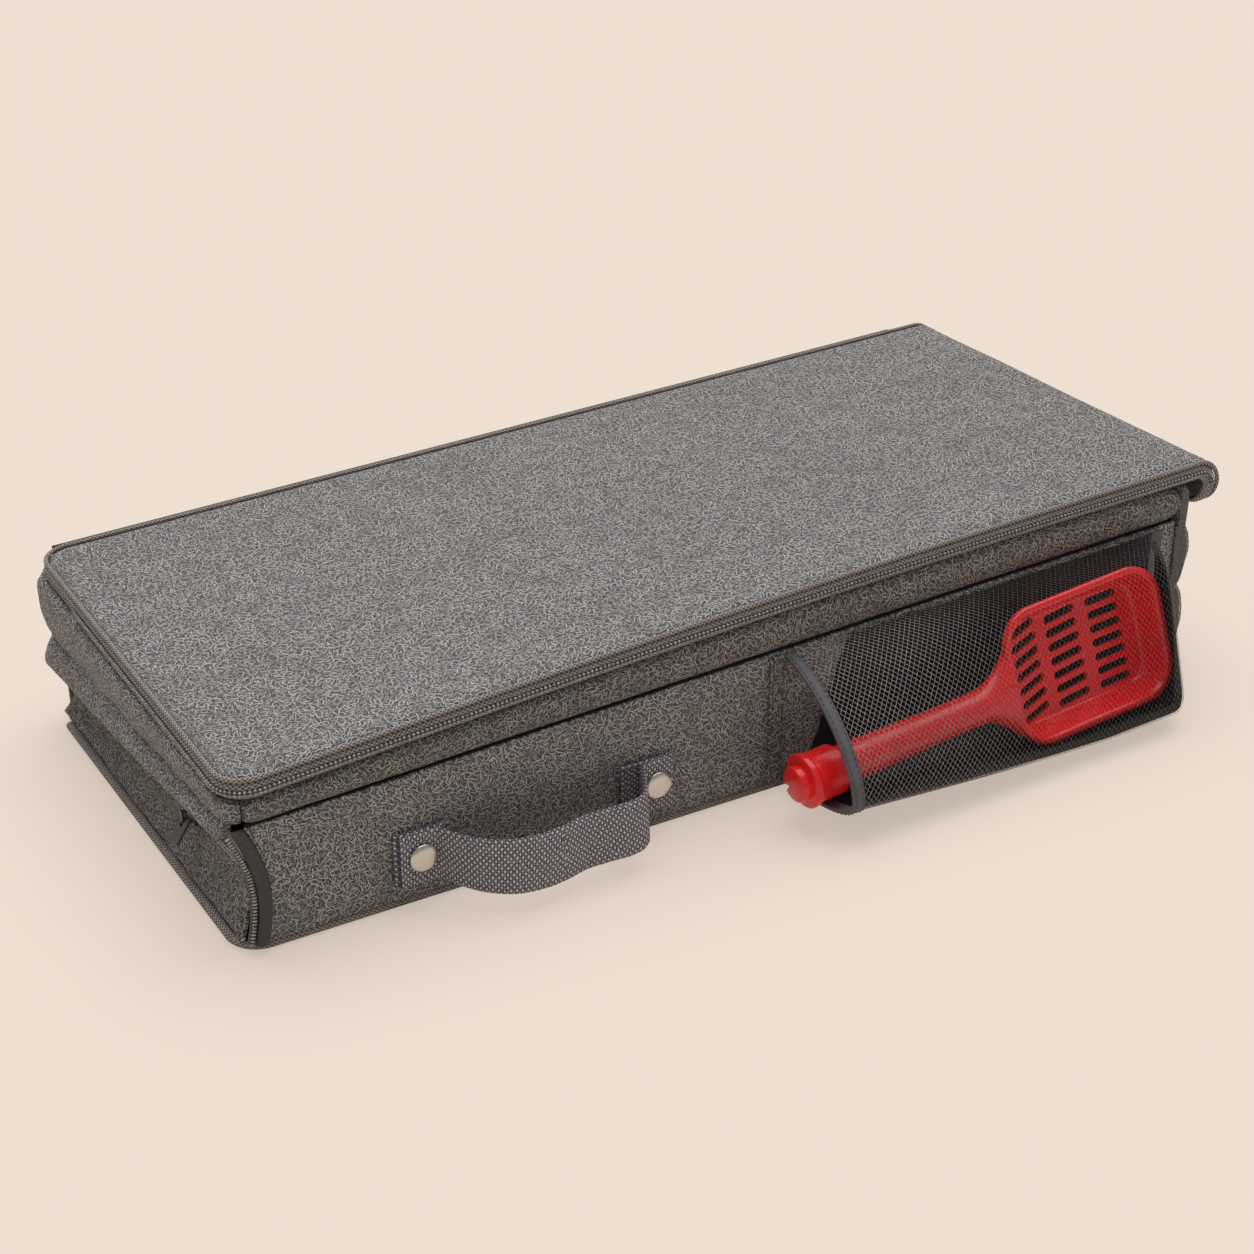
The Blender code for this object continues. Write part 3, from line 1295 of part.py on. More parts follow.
def scoop_cap():
    shape = bmesh.new()
    seat = -CLEARANCE
    outer = seat - CAP_FLANGE_THICKNESS
    end = outer - CAP_KNOB_LENGTH
    round_off = 0.25 * CAP_FLANGE_THICKNESS
    profile = [
        (CAP_SPIGOT_RADIUS, CAP_SPIGOT_LENGTH),
        (CAP_SPIGOT_RADIUS, seat),
        (CAP_FLANGE_RADIUS, seat),
        (CAP_FLANGE_RADIUS, outer + round_off),
        (CAP_FLANGE_RADIUS - round_off, outer),
        (CAP_KNOB_RADIUS, outer),
        (CAP_KNOB_RADIUS, end + round_off),
        (CAP_KNOB_RADIUS - round_off, end),
    ]
    add_turned(shape, HANDLE_END, ALONG, profile, 28)
    return shape


cap_body = node("scoop_cap", scoop_cap(), FINISH["red"], cap)


def cap_notch():
    """A V cut in from the knob's side."""
    shape = bmesh.new()
    low = -CLEARANCE - CAP_FLANGE_THICKNESS - CAP_KNOB_LENGTH - OVERRUN
    high = -CLEARANCE - CAP_FLANGE_THICKNESS
    rings = []
    for along in (low, high):
        middle = HANDLE_END + ALONG * along
        side = (-OUT * 0.9 - ACROSS * 0.2).normalized()
        other = ALONG.cross(side)
        tip = middle + side * (CAP_KNOB_RADIUS - NOTCH_DEPTH)
        mouth = middle + side * (CAP_KNOB_RADIUS + 0.2 * NOTCH_DEPTH)
        rings.append([tip, mouth + other * (0.5 * NOTCH_WIDTH), mouth - other * (0.5 * NOTCH_WIDTH)])
    add_skin(shape, rings)
    return shape


cutter("cap_notch", cap_notch(), cap, [cap_body])

# Setting the box on the world's origin: the middle of its footprint, on the floor
bpy.context.view_layer.update()
graph = bpy.context.evaluated_depsgraph_get()
corners = []
for piece in bpy.context.scene.objects:
    if piece.type == "MESH" and not piece.hide_render:
        seen = piece.evaluated_get(graph)
        corners += [seen.matrix_world @ vertex.co for vertex in seen.data.vertices]
low = [min(c[i] for c in corners) for i in range(3)]
high = [max(c[i] for c in corners) for i in range(3)]
base.location = (-0.5 * (low[0] + high[0]), -0.5 * (low[1] + high[1]), -low[2])
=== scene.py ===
import math

import bmesh
import bpy
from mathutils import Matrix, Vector, noise


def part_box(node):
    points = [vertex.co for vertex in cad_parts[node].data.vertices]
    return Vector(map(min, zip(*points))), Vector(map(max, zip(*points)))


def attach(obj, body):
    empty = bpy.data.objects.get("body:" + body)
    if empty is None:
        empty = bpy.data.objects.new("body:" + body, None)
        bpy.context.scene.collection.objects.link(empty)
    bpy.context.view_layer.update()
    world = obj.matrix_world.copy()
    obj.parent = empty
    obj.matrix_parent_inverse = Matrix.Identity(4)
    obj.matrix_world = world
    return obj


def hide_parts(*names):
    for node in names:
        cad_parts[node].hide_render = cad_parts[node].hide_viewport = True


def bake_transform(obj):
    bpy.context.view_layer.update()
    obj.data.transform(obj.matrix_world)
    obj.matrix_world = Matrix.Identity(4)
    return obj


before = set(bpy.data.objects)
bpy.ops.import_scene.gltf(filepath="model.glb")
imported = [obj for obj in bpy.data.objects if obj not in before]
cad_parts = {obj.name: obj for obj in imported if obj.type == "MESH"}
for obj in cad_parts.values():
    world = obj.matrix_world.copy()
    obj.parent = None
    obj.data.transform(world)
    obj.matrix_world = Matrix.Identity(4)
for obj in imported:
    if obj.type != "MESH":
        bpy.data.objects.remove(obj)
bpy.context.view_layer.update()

scene = bpy.context.scene
scene.view_settings.view_transform = "Standard"

# The table and its light. A seamless cream sheet lies under the box. One wide lamp hangs over it,
# a little behind, and the room is dim, so the upright cloth is about half as bright as the lid.
ROOM_LIGHT, LAMP_STRENGTH, LAMP_SPREAD, LAMP_LEAN = 0.30, 2.30, 64.0, (-14.0, 10.0)
SHEET_COLOUR, SHEET_GLOW = (0.860, 0.744, 0.643), 0.60
SHEET_HALF, SHEET_HEIGHT = 6.0, -0.0002


def add(tree, kind, feeds, **settings):
    """Adds one shader node. A feed is a number, a colour, or the socket that it comes from."""
    made = tree.nodes.new(kind)
    for key, value in settings.items():
        setattr(made, key, value)
    for key, value in feeds.items():
        if isinstance(value, bpy.types.NodeSocket):
            tree.links.new(value, made.inputs[key])
        else:
            made.inputs[key].default_value = value
    return made


def tree_of(*values):
    """The node tree of the first socket among some values."""
    return next(value.id_data for value in values if isinstance(value, bpy.types.NodeSocket))


def worked(operation, *values):
    """The outcome of one sum. At least one of its values is a socket."""
    return add(tree_of(*values), "ShaderNodeMath", dict(enumerate(values)), operation=operation).outputs[0]


def shader_of(name, roughness, metallic=0.0, specular=0.5):
    """A new finish and its shader."""
    finish = bpy.data.materials.new(name)
    finish.use_nodes = True
    shader = finish.node_tree.nodes["Principled BSDF"]
    shader.inputs["Roughness"].default_value = roughness
    shader.inputs["Metallic"].default_value = metallic
    shader.inputs["Specular IOR Level"].default_value = specular
    return finish, shader


# The camera sees the sheet partly as an even glow, so its shadows look as thin as the photograph's.
sheet_finish, sheet_shader = shader_of("cream_sheet", 0.9, specular=0.1)
sheet_shader.inputs["Base Color"].default_value = (*SHEET_COLOUR, 1.0)
sheet_tree = sheet_finish.node_tree
rays = add(sheet_tree, "ShaderNodeLightPath", {}).outputs
seen = worked("MAXIMUM", rays["Is Camera Ray"], rays["Is Glossy Ray"])
seen = worked("MAXIMUM", seen, rays["Is Transmission Ray"])
glow = add(sheet_tree, "ShaderNodeEmission", {"Color": (*SHEET_COLOUR, 1.0)}).outputs[0]
feeds = {0: worked("MULTIPLY", seen, SHEET_GLOW), 1: sheet_shader.outputs[0], 2: glow}
lit = add(sheet_tree, "ShaderNodeMixShader", feeds).outputs[0]
sheet_tree.links.new(lit, sheet_tree.nodes["Material Output"].inputs["Surface"])
sheet_mesh = bpy.data.meshes.new("table_sheet")
sheet_sides = ((-1, -1), (1, -1), (1, 1), (-1, 1))
sheet_corners = [(SHEET_HALF * x, SHEET_HALF * y, SHEET_HEIGHT) for x, y in sheet_sides]
sheet_mesh.from_pydata(sheet_corners, [], [(0, 1, 2, 3)])
sheet_mesh.materials.append(sheet_finish)
table_sheet = bpy.data.objects.new("table_sheet", sheet_mesh)
scene.collection.objects.link(table_sheet)

room = bpy.data.worlds.new("room")
room.use_nodes = True
room.node_tree.nodes["Background"].inputs["Color"].default_value = (1.0, 1.0, 1.0, 1.0)
room.node_tree.nodes["Background"].inputs["Strength"].default_value = ROOM_LIGHT
scene.world = room
lamp_data = bpy.data.lights.new("overhead_lamp", "SUN")
lamp_data.energy = LAMP_STRENGTH
lamp_data.angle = math.radians(LAMP_SPREAD)
lamp = bpy.data.objects.new("overhead_lamp", lamp_data)
lamp.rotation_euler = (math.radians(LAMP_LEAN[0]), math.radians(LAMP_LEAN[1]), 0.0)
scene.collection.objects.link(lamp)

# Camera. It stands off the left front corner, looking down on the lid with a long lens.
# The pack's own frame starts at the lid's front left corner, on the floor.
PICTURE_WIDTH, FOCAL_LENGTH, SENSOR = 1254.0, 2400.0, 36.0
CAMERA_PLACE = (-0.25016, -0.71635, 0.53581)
CAMERA_TURN = (0.5 * math.pi - 0.4858, 0.0, -0.53047)
COVER_CORNER_INSET = 0.0046
pack_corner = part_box("base_cover")[0] - Vector((COVER_CORNER_INSET, COVER_CORNER_INSET, 0.0))


def at(x, y, z):
    """A place in the pack's own frame, in the world."""
    return Vector((x + pack_corner.x, y + pack_corner.y, z))


camera_data = bpy.data.cameras.new("camera")
camera_data.sensor_width = SENSOR
camera_data.lens = FOCAL_LENGTH / PICTURE_WIDTH * SENSOR
camera = bpy.data.objects.new("camera", camera_data)
camera.location = at(*CAMERA_PLACE)
camera.rotation_euler = CAMERA_TURN
scene.collection.objects.link(camera)
scene.camera = camera

# The floor of the tray. A padded cloth cover under a stiff board, with a coated liner over it,
# and a piped edge along the left, the front and the right.
LENGTH, DEPTH = 0.460, 0.216
FABRIC, BOARD, GAP = 0.0012, 0.0022, 0.0003
PIPING_RADIUS = 0.0020
WALL_RIGHT = 0.455
SPINE_PADDING = 0.0024
BASE_BACK = DEPTH - SPINE_PADDING - BOARD - FABRIC - 3 * GAP
BASE_PADDING = 0.0030
FLOOR_CORNER, FLOOR_EDGE_BEND, FLOOR_EDGE_STOP = 0.010, 0.012, 0.010
CREASE_ANGLE = 42.0


def between(low, high, share):
    return low + (high - low) * share


def steps(low, high, count):
    """A row of even steps from one value to another."""
    return [between(low, high, i / count) for i in range(count + 1)]


def turned(count):
    """The angles of even steps round a full circle."""
    return [2 * math.pi * i / count for i in range(count)]


def smooth(share):
    share = min(1.0, max(0.0, share))
    return share * share * (3.0 - 2.0 * share)


def faded(distance, reach, power=2):
    """What is left of an edge's effect at a distance from it, from 1 down to 0."""
    return (1.0 - min(1.0, distance / reach)) ** power


def sunk(x, y, z, size, depth):
    """How far cloth has sunk at a place, from 0 to a depth, in soft dimples of a size."""
    return depth * (0.5 + 0.5 * noise.noise(Vector((x, y, z)) / size))


def rounding(distance, radius):
    """How far a round corner cuts in at a distance from its side."""
    if distance >= radius:
        return 0.0
    return radius - math.sqrt(max(0.0, radius * radius - (radius - distance) ** 2))


def quilt(outer, inner):
    """Closes the space between two grids of points. Its UVs are in metres along rows and columns."""
    shape = bmesh.new()
    uvs = shape.loops.layers.uv.verify()
    flat = {}
    grids = []
    for grid in (outer, inner):
        made = []
        for i, row in enumerate(grid):
            line = []
            for j, point in enumerate(row):
                vertex = shape.verts.new(at(*point))
                along = flat[line[-1]][0] + (Vector(point) - Vector(row[j - 1])).length if j else 0.0
                down = flat[made[-1][j]][1] + (Vector(point) - Vector(grid[i - 1][j])).length if i else 0.0
                flat[vertex] = (along, down)
                line.append(vertex)
            made.append(line)
        grids.append(made)
    rows, columns = len(outer), len(outer[0])
    faces = []
    for grid in grids:
        for i in range(rows - 1):
            for j in range(columns - 1):
                faces.append((grid[i][j], grid[i + 1][j], grid[i + 1][j + 1], grid[i][j + 1]))
    rim = [(i, 0) for i in range(rows)] + [(rows - 1, j) for j in range(1, columns)]
    rim += [(i, columns - 1) for i in range(rows - 2, -1, -1)] + [(0, j) for j in range(columns - 2, 0, -1)]
    for (a, b), (c, d) in zip(rim, rim[1:] + rim[:1]):
        faces.append((grids[0][a][b], grids[1][a][b], grids[1][c][d], grids[0][c][d]))
    for corners in faces:
        for loop in shape.faces.new(corners).loops:
            loop[uvs].uv = flat[loop.vert]
    return shape


def paired(lines):
    """A quilt of lines of (outer, inner) places."""
    return quilt(*([[pair[side] for pair in line] for line in lines] for side in (0, 1)))


def layered(rows, columns, faces_at):
    """A quilt whose outer and inner places are worked out for each row and column."""
    return paired([[faces_at(row, column) for column in columns] for row in rows])


def sleeve(rings, closed=False, shape=None):
    """Joins rings of points into one closed skin. Its UVs are in metres along and round it."""
    shape = bmesh.new() if shape is None else shape
    uvs = shape.loops.layers.uv.verify()
    rows = [[shape.verts.new(at(*p)) for p in ring] for ring in rings]
    count = len(rings[0])
    around = [0.0]
    fullest = rings[len(rings) // 2]
    for i in range(count):
        around.append(around[-1] + (Vector(fullest[i]) - Vector(fullest[(i + 1) % count])).length)
    run = [0.0]
    for near, far in zip(rings, rings[1:] + rings[:1]):
        run.append(run[-1] + (Vector(near[0]) - Vector(far[0])).length)
    for k in range(len(rows) if closed else len(rows) - 1):
        after = (k + 1) % len(rows)
        for i in range(count):
            j = (i + 1) % count
            face = shape.faces.new((rows[k][i], rows[k][j], rows[after][j], rows[after][i]))
            corners = ((k, i), (k, i + 1), (k + 1, i + 1), (k + 1, i))
            for loop, (step, side) in zip(face.loops, corners):
                loop[uvs].uv = run[step], around[side]
    if not closed:
        shape.faces.new(list(reversed(rows[0])))
        shape.faces.new(rows[-1])
    return shape


def circle(middle, across, other, radius, sides):
    """Places round a circle, which lies in the plane of two directions."""
    return [middle + (across * math.cos(t) + other * math.sin(t)) * radius for t in turned(sides)]


def tube(path, radius, sides):
    """A round bead along a level path."""
    rings = []
    for i, point in enumerate(path):
        run = (Vector(path[min(i + 1, len(path) - 1)]) - Vector(path[max(0, i - 1)])).normalized()
        side = run.cross(Vector((0, 0, 1))).normalized()
        rings.append(circle(Vector(point), side, side.cross(run), radius, sides))
    return sleeve(rings)


def piece(name, shape, finish, body=None, node=None):
    """One piece in its finish. It can ride a body and replace a node."""
    mesh = bpy.data.meshes.new(name)
    bmesh.ops.recalc_face_normals(shape, faces=shape.faces[:])
    shape.to_mesh(mesh)
    shape.free()
    mesh.shade_smooth()
    mesh.set_sharp_from_angle(angle=math.radians(CREASE_ANGLE))
    mesh.materials.append(finish)
    made = bpy.data.objects.new(name, mesh)
    scene.collection.objects.link(made)
    if node:
        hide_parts(node)
    if body:
        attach(made, body)
    return made


def paint(node, finish):
    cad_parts[node].material_slots[0].material = finish


def times(first, second):
    return worked("MULTIPLY", first, second)


def plus(first, second):
    return worked("ADD", first, second)


def less(first, second):
    return worked("SUBTRACT", first, second)


def rgba(colour):
    return colour if isinstance(colour, bpy.types.NodeSocket) else (*colour, 1.0)


def mixed(share, low, high, blend="MIX"):
    """A colour between two others, by a share."""
    feeds = {0: share, 6: rgba(low), 7: rgba(high)}
    return add(tree_of(share, low), "ShaderNodeMix", feeds, data_type="RGBA", blend_type=blend).outputs[2]


def places(shader):
    return add(shader.id_data, "ShaderNodeTexCoord", {}).outputs["Object"]


def clouds(place, scale, detail):
    """Soft noise, from 0 to 1."""
    feeds = {"Vector": place, "Scale": scale, "Detail": detail}
    return add(place.id_data, "ShaderNodeTexNoise", feeds).outputs["Fac"]


def ranged(value, low, high, to_low=0.0, to_high=1.0):
    """A value moved from one range to another, and held inside it."""
    feeds = {0: value, 1: low, 2: high, 3: to_low, 4: to_high}
    return add(value.id_data, "ShaderNodeMapRange", feeds).outputs[0]


def spots(shader):
    """The cloth's flat coordinates, in metres: along it and across it."""
    flat = add(shader.id_data, "ShaderNodeUVMap", {}).outputs[0]
    return add(shader.id_data, "ShaderNodeSeparateXYZ", {0: flat}).outputs[:2]


def woven(shader, along, across, depth):
    """A plain weave: its height goes a depth up and down from one half."""
    u, v = spots(shader)
    waves = times(worked("SINE", times(u, along)), worked("SINE", times(v, across)))
    return worked("MULTIPLY_ADD", waves, depth, 0.5)


def dress(shader, colour, height, strength, depth):
    """Gives a shader its colour, and a bump from the height of its surface."""
    links = shader.id_data.links
    feeds = {"Height": height, "Strength": strength, "Distance": depth}
    links.new(colour, shader.inputs["Base Color"])
    links.new(add(shader.id_data, "ShaderNodeBump", feeds).outputs[0], shader.inputs["Normal"])


def darker(colour, share):
    return tuple(share * part for part in colour)


def strokes(spot, scale, seed):
    """Short curled fibres, one to a cell, each with its turn and bend, and painted shadow beside them."""
    tree = spot.id_data
    feeds = {0: spot, 1: (seed, 1.7 * seed, 0.0)}
    moved = add(tree, "ShaderNodeVectorMath", feeds, operation="ADD").outputs[0]
    feeds = {"Vector": moved, "Scale": scale}
    cells = add(tree, "ShaderNodeTexVoronoi", feeds, voronoi_dimensions="2D").outputs
    feeds = {0: moved, 1: cells["Position"]}
    inside = add(tree, "ShaderNodeVectorMath", feeds, operation="SUBTRACT").outputs[0]
    chance = add(tree, "ShaderNodeSeparateColor", {0: cells["Color"]}).outputs
    feeds = {"Vector": inside, "Angle": times(chance[0], 2 * math.pi)}
    laid = add(tree, "ShaderNodeVectorRotate", feeds).outputs[0]
    run, side = add(tree, "ShaderNodeSeparateXYZ", {0: laid}).outputs[:2]
    bend = times(less(chance[1], 0.5), 900.0)
    away = plus(side, times(bend, times(run, run)))
    shares = []
    # The second limit marks a thin band on one side of each fibre, where its shadow is painted.
    limits = ((away, 0.13, 0.05), (less(away, 0.20 / scale), 0.14, 0.03), (run, 0.80, 0.50))
    for distance, wide, narrow in limits:
        feeds = {0: worked("ABSOLUTE", distance), 1: wide / scale, 2: narrow / scale}
        shares.append(add(tree, "ShaderNodeMapRange", feeds, interpolation_type="SMOOTHSTEP").outputs[0])
    thin, painted_shadow, short = shares
    return times(thin, short), times(painted_shadow, short)


def heather(name, deep, middle, light):
    """Brushed heather cloth: short pale fibres curl over a darker ground, in loose clumps."""
    finish, shader = shader_of(name, 0.93, specular=0.25)
    place = places(shader)
    spot = add(shader.id_data, "ShaderNodeUVMap", {}).outputs[0]
    fibres, painted_shadows = 0.0, 0.0
    for scale, seed, felt in ((400.0, 3.1, 1.0), (450.0, 7.7, 0.85), (620.0, 1.3, 0.65)):
        fibre, painted_shadow = strokes(spot, scale, seed)
        fibres = worked("MAXIMUM", times(fibre, felt), fibres)
        painted_shadows = worked("MAXIMUM", times(painted_shadow, felt), painted_shadows)
    fibres = times(fibres, ranged(clouds(place, 120.0, 2.0), 0.32, 0.60, 0.62, 1.0))
    ground = ranged(clouds(place, 900.0, 3.0), 0.35, 0.65)
    wide = ranged(clouds(place, 16.0, 2.0), 0.0, 1.0, 0.94, 1.06)
    # Painted shadow: the ground is darkened beside each fibre, on one side.
    cloth = mixed(times(painted_shadows, 0.75), mixed(ground, deep, middle), darker(deep, 0.35))
    worn = add(shader.id_data, "ShaderNodeCombineColor", {0: wide, 1: wide, 2: wide}).outputs[0]
    cloth = mixed(1.0, mixed(fibres, cloth, light), worn, "MULTIPLY")
    dress(shader, cloth, plus(fibres, times(ground, 0.35)), 0.95, 0.0009)
    return finish


def ribbed(name, deep, light, rib):
    """Woven tape: small ribs across it, each broken into single threads."""
    finish, shader = shader_of(name, 0.85, specular=0.25)
    weave = woven(shader, rib * 2 * math.pi, rib * 2.7 * math.pi, 0.42)
    height = plus(weave, times(clouds(places(shader), 900.0, 3.0), 0.6))
    dress(shader, mixed(ranged(height, 0.45, 1.15), deep, light), height, 0.6, 0.0003)
    return finish


def coated(name, colour, roughness):
    """Coated liner: a fine plain weave that shows through a smooth film."""
    finish, shader = shader_of(name, roughness)
    weave = woven(shader, 4200.0, 4200.0, 0.5)
    tint = plus(times(weave, 0.35), times(clouds(places(shader), 30.0, 3.0), 0.65))
    dress(shader, mixed(tint, darker(colour, 0.78), colour), weave, 0.25, 0.0002)
    return finish


def pressed(name, colour):
    """Pressed board: a matte grey sheet with fine flecks."""
    finish, shader = shader_of(name, 0.75)
    fleck = clouds(places(shader), 700.0, 4.0)
    dress(shader, mixed(fleck, darker(colour, 0.7), colour), fleck, 0.2, 0.0002)
    return finish


cloth_colours = (0.110, 0.098, 0.096), (0.210, 0.196, 0.191), (0.760, 0.735, 0.720)
# A darker copy of the heather cloth, for parts that lie in shade: painted shade.
painted_shade_colours = (0.074, 0.064, 0.060), (0.152, 0.137, 0.130), (0.620, 0.588, 0.556)
CLOTH = heather("heather_cloth", *cloth_colours)
PAINTED_SHADE_CLOTH = heather("heather_cloth_painted_shade", *painted_shade_colours)
TAPE = ribbed("ribbed_tape", (0.050, 0.042, 0.039), (0.500, 0.450, 0.424), 480.0)
LINER = coated("coated_liner", (0.150, 0.154, 0.162), 0.38)
BOARD_FINISH = pressed("pressed_board", (0.110, 0.110, 0.113))


def floor_layer(low, high, inset, back, rumple):
    """One layer of the floor, with round front corners and a soft edge."""
    left, right, front = inset, WALL_RIGHT - inset + PIPING_RADIUS, inset
    bends = [FLOOR_CORNER * (1 - math.cos(0.5 * math.pi * i / 6)) for i in range(6)]
    columns = [left + bend for bend in bends] + steps(left + FLOOR_CORNER, right - FLOOR_CORNER, 60)
    columns += [right - bend for bend in reversed(bends)]

    def faces_at(x, share):
        cut = rounding(min(x - left, right - x), FLOOR_CORNER)
        y = between(front + cut, back, share)
        roll = 0.25 * (high - low) * faded(min(x - left, right - x, y - front - cut, back - y), 0.004)
        upper = high - roll - sunk(x, y, 0.3, 0.035, rumple)
        return (x, y, upper), (x, y, low + (roll if rumple else 0.0))

    return layered(columns, [0.0, 0.006, 0.02, *steps(0.05, 0.95, 22), 0.98, 0.994, 1.0], faces_at)


cover_inset = 2 * PIPING_RADIUS + 2 * GAP
floor_shape = floor_layer(0.0, BASE_PADDING, cover_inset, BASE_BACK - GAP, 0.0)
base_cover = piece("floor_cover", floor_shape, CLOTH, "base", "base_cover")
paint("base_board", BOARD_FINISH)
liner_low = BASE_PADDING + BOARD + 2 * GAP
liner_inset = cover_inset + BASE_PADDING + FABRIC
floor_shape = floor_layer(liner_low, liner_low + FABRIC, liner_inset, BASE_BACK - 2 * GAP, 0.0003)
floor_liner = piece("floor_liner", floor_shape, LINER, "base", "base_liner")


def floor_edge_path():
    """The floor's edge, from the back of its left side round to the back of its right side."""
    left, right, bend = PIPING_RADIUS, WALL_RIGHT + PIPING_RADIUS, FLOOR_EDGE_BEND
    rear = BASE_BACK - FLOOR_EDGE_STOP
    path = [(left, y) for y in steps(rear, left + bend, 40)[:-1]]
    for corner_x, start in ((left + bend, math.pi), (right - bend, 1.5 * math.pi)):
        for turn in steps(start, start + 0.5 * math.pi, 10):
            path.append((corner_x + bend * math.cos(turn), left + bend + bend * math.sin(turn)))
        if corner_x == left + bend:
            path += [(x, left) for x in steps(left + bend, right - bend, 80)[1:-1]]
    return path + [(right, y) for y in steps(left + bend, rear, 40)[1:]]


edge_shape = tube([(x, y, PIPING_RADIUS + GAP) for x, y in floor_edge_path()], PIPING_RADIUS, 12)
piece("floor_piping", edge_shape, TAPE, "base", "base_piping")

# The front wall. Brushed cloth over thin padding, a board and a liner, sewn to the floor's piping
# below and tucked under the far wall above. Its left edge bows out and turns in at the top.
WALL_FACE, WALL_PADDING = -0.0015, 0.0025
WALL_FOOT = 2 * PIPING_RADIUS + 2 * GAP
WALL_LINER_FACE = WALL_FACE + WALL_PADDING + BOARD + 2 * GAP
WALL_LEFT_FOOT, WALL_LEFT_BOW, WALL_LEFT_TURN = 0.0125, 0.0035, 0.0060
WALL_DIMPLE, WALL_WRINKLE, WALL_EDGE = 0.021, 0.006, 0.006
UNDERSIDE_LEFT, UNDERSIDE_RIGHT = 0.0568, 0.0757


def far_wall_underside(x):
    return between(UNDERSIDE_LEFT, UNDERSIDE_RIGHT, x / LENGTH)


def wall_top(x):
    return far_wall_underside(x) - 2 * GAP


def wall_left(share):
    return WALL_LEFT_FOOT + WALL_LEFT_BOW * math.sin(math.pi * share) - WALL_LEFT_TURN * share * share


def wall_layer(face, thickness, inset, rumple):
    """One layer of the front wall. Its outer side dips towards its edges and in soft dimples."""

    def faces_at(share, across):
        left, right = wall_left(share) + inset, WALL_RIGHT - inset
        x = between(left, right, across)
        low, high = WALL_FOOT + inset, wall_top(x) - inset
        z = between(low, high, share)
        edge = min(x - left, right - x, z - low, high - z)
        dip = 0.35 * thickness * faded(edge, WALL_EDGE) if rumple else 0.0
        dip += sunk(x, 0.0, 2.2 * z, WALL_DIMPLE, rumple) + sunk(x, 0.1, z, WALL_WRINKLE, 0.3 * rumple)
        return (x, face + dip, z), (x, face + thickness, z)

    rows = [0.0, 0.02, 0.06, *steps(0.1, 0.92, 18), 0.96, 0.99, 1.0]
    return layered(rows, steps(0.0, 1.0, 110), faces_at)


wall_shape = wall_layer(WALL_FACE, WALL_PADDING, 0.0, 0.0008)
wall_cover = piece("front_wall_cloth", wall_shape, CLOTH, "base", "front_wall_cover")
paint("front_wall_board", BOARD_FINISH)
wall_shape = wall_layer(WALL_LINER_FACE, FABRIC, FABRIC, 0.0)
wall_liner = piece("front_wall_lining", wall_shape, LINER, "base", "front_wall_liner")

# The wall's left edge. A smooth dark binding is folded round it and sewn down with one row of
# stitches, and half of a coil zip runs up beside it.
BINDING_WIDTH, CORNER_COIL, CORNER_TEETH_FACE = 0.0055, 0.0013, -0.0011
TOOTH_HEIGHT, STITCH_WIDTH, STITCH_HEIGHT = 0.0013, 0.0006, 0.0005


def smooth_tape(name, deep, light, roughness):
    """Smooth binding: a close plain weave, worn lighter in patches."""
    finish, shader = shader_of(name, roughness)
    weave = woven(shader, 6500.0, 8500.0, 0.5)
    share = plus(times(weave, 0.45), times(clouds(places(shader), 240.0, 5.0), 0.55))
    dress(shader, mixed(share, deep, light), share, 0.35, 0.0002)
    return finish


def thread(name, deep, light, roughness):
    """Nylon thread or coil wire, in darker and lighter lengths."""
    finish, shader = shader_of(name, roughness)
    mottle = ranged(clouds(places(shader), 1300.0, 2.0), 0.35, 0.65)
    dress(shader, mixed(mottle, deep, light), mottle, 0.2, 0.0001)
    return finish


DARK_BINDING = smooth_tape("dark_binding", (0.032, 0.028, 0.027), (0.082, 0.074, 0.070), 0.65)
COIL_WIRE = thread("coil_wire", (0.190, 0.172, 0.160), (0.620, 0.580, 0.550), 0.4)
COIL_CORD = thread("coil_cord", (0.030, 0.027, 0.026), (0.065, 0.058, 0.055), 0.5)
GREY_THREAD = thread("grey_thread", (0.050, 0.048, 0.050), (0.130, 0.126, 0.128), 0.7)


def grower(name, sizes):
    """A new node tree that grows a mesh on paths, with its sizes and its finish as inputs."""
    tree = bpy.data.node_groups.new(name, "GeometryNodeTree")
    kinds = [("Paths", "Geometry"), *((size, "Float") for size in sizes), ("Finish", "Material")]
    for socket, kind in kinds:
        tree.interface.new_socket(name=socket, in_out="INPUT", socket_type="NodeSocket" + kind)
    tree.interface.new_socket(name="Grown", in_out="OUTPUT", socket_type="NodeSocketGeometry")
    given = tree.nodes.new("NodeGroupInput").outputs
    return tree, given, add(tree, "GeometryNodeMeshToCurve", {0: given["Paths"]}).outputs[0]


def finished(tree, made, finish):
    """Ends a growing tree: what it made is real, smooth and in its finish."""
    real = add(tree, "GeometryNodeRealizeInstances", {0: made}).outputs[0]
    soft = add(tree, "GeometryNodeSetShadeSmooth", {0: real}).outputs[0]
    dressed = add(tree, "GeometryNodeSetMaterial", {0: soft, "Material": finish}).outputs[0]
    add(tree, "NodeGroupOutput", {0: dressed})
    return tree


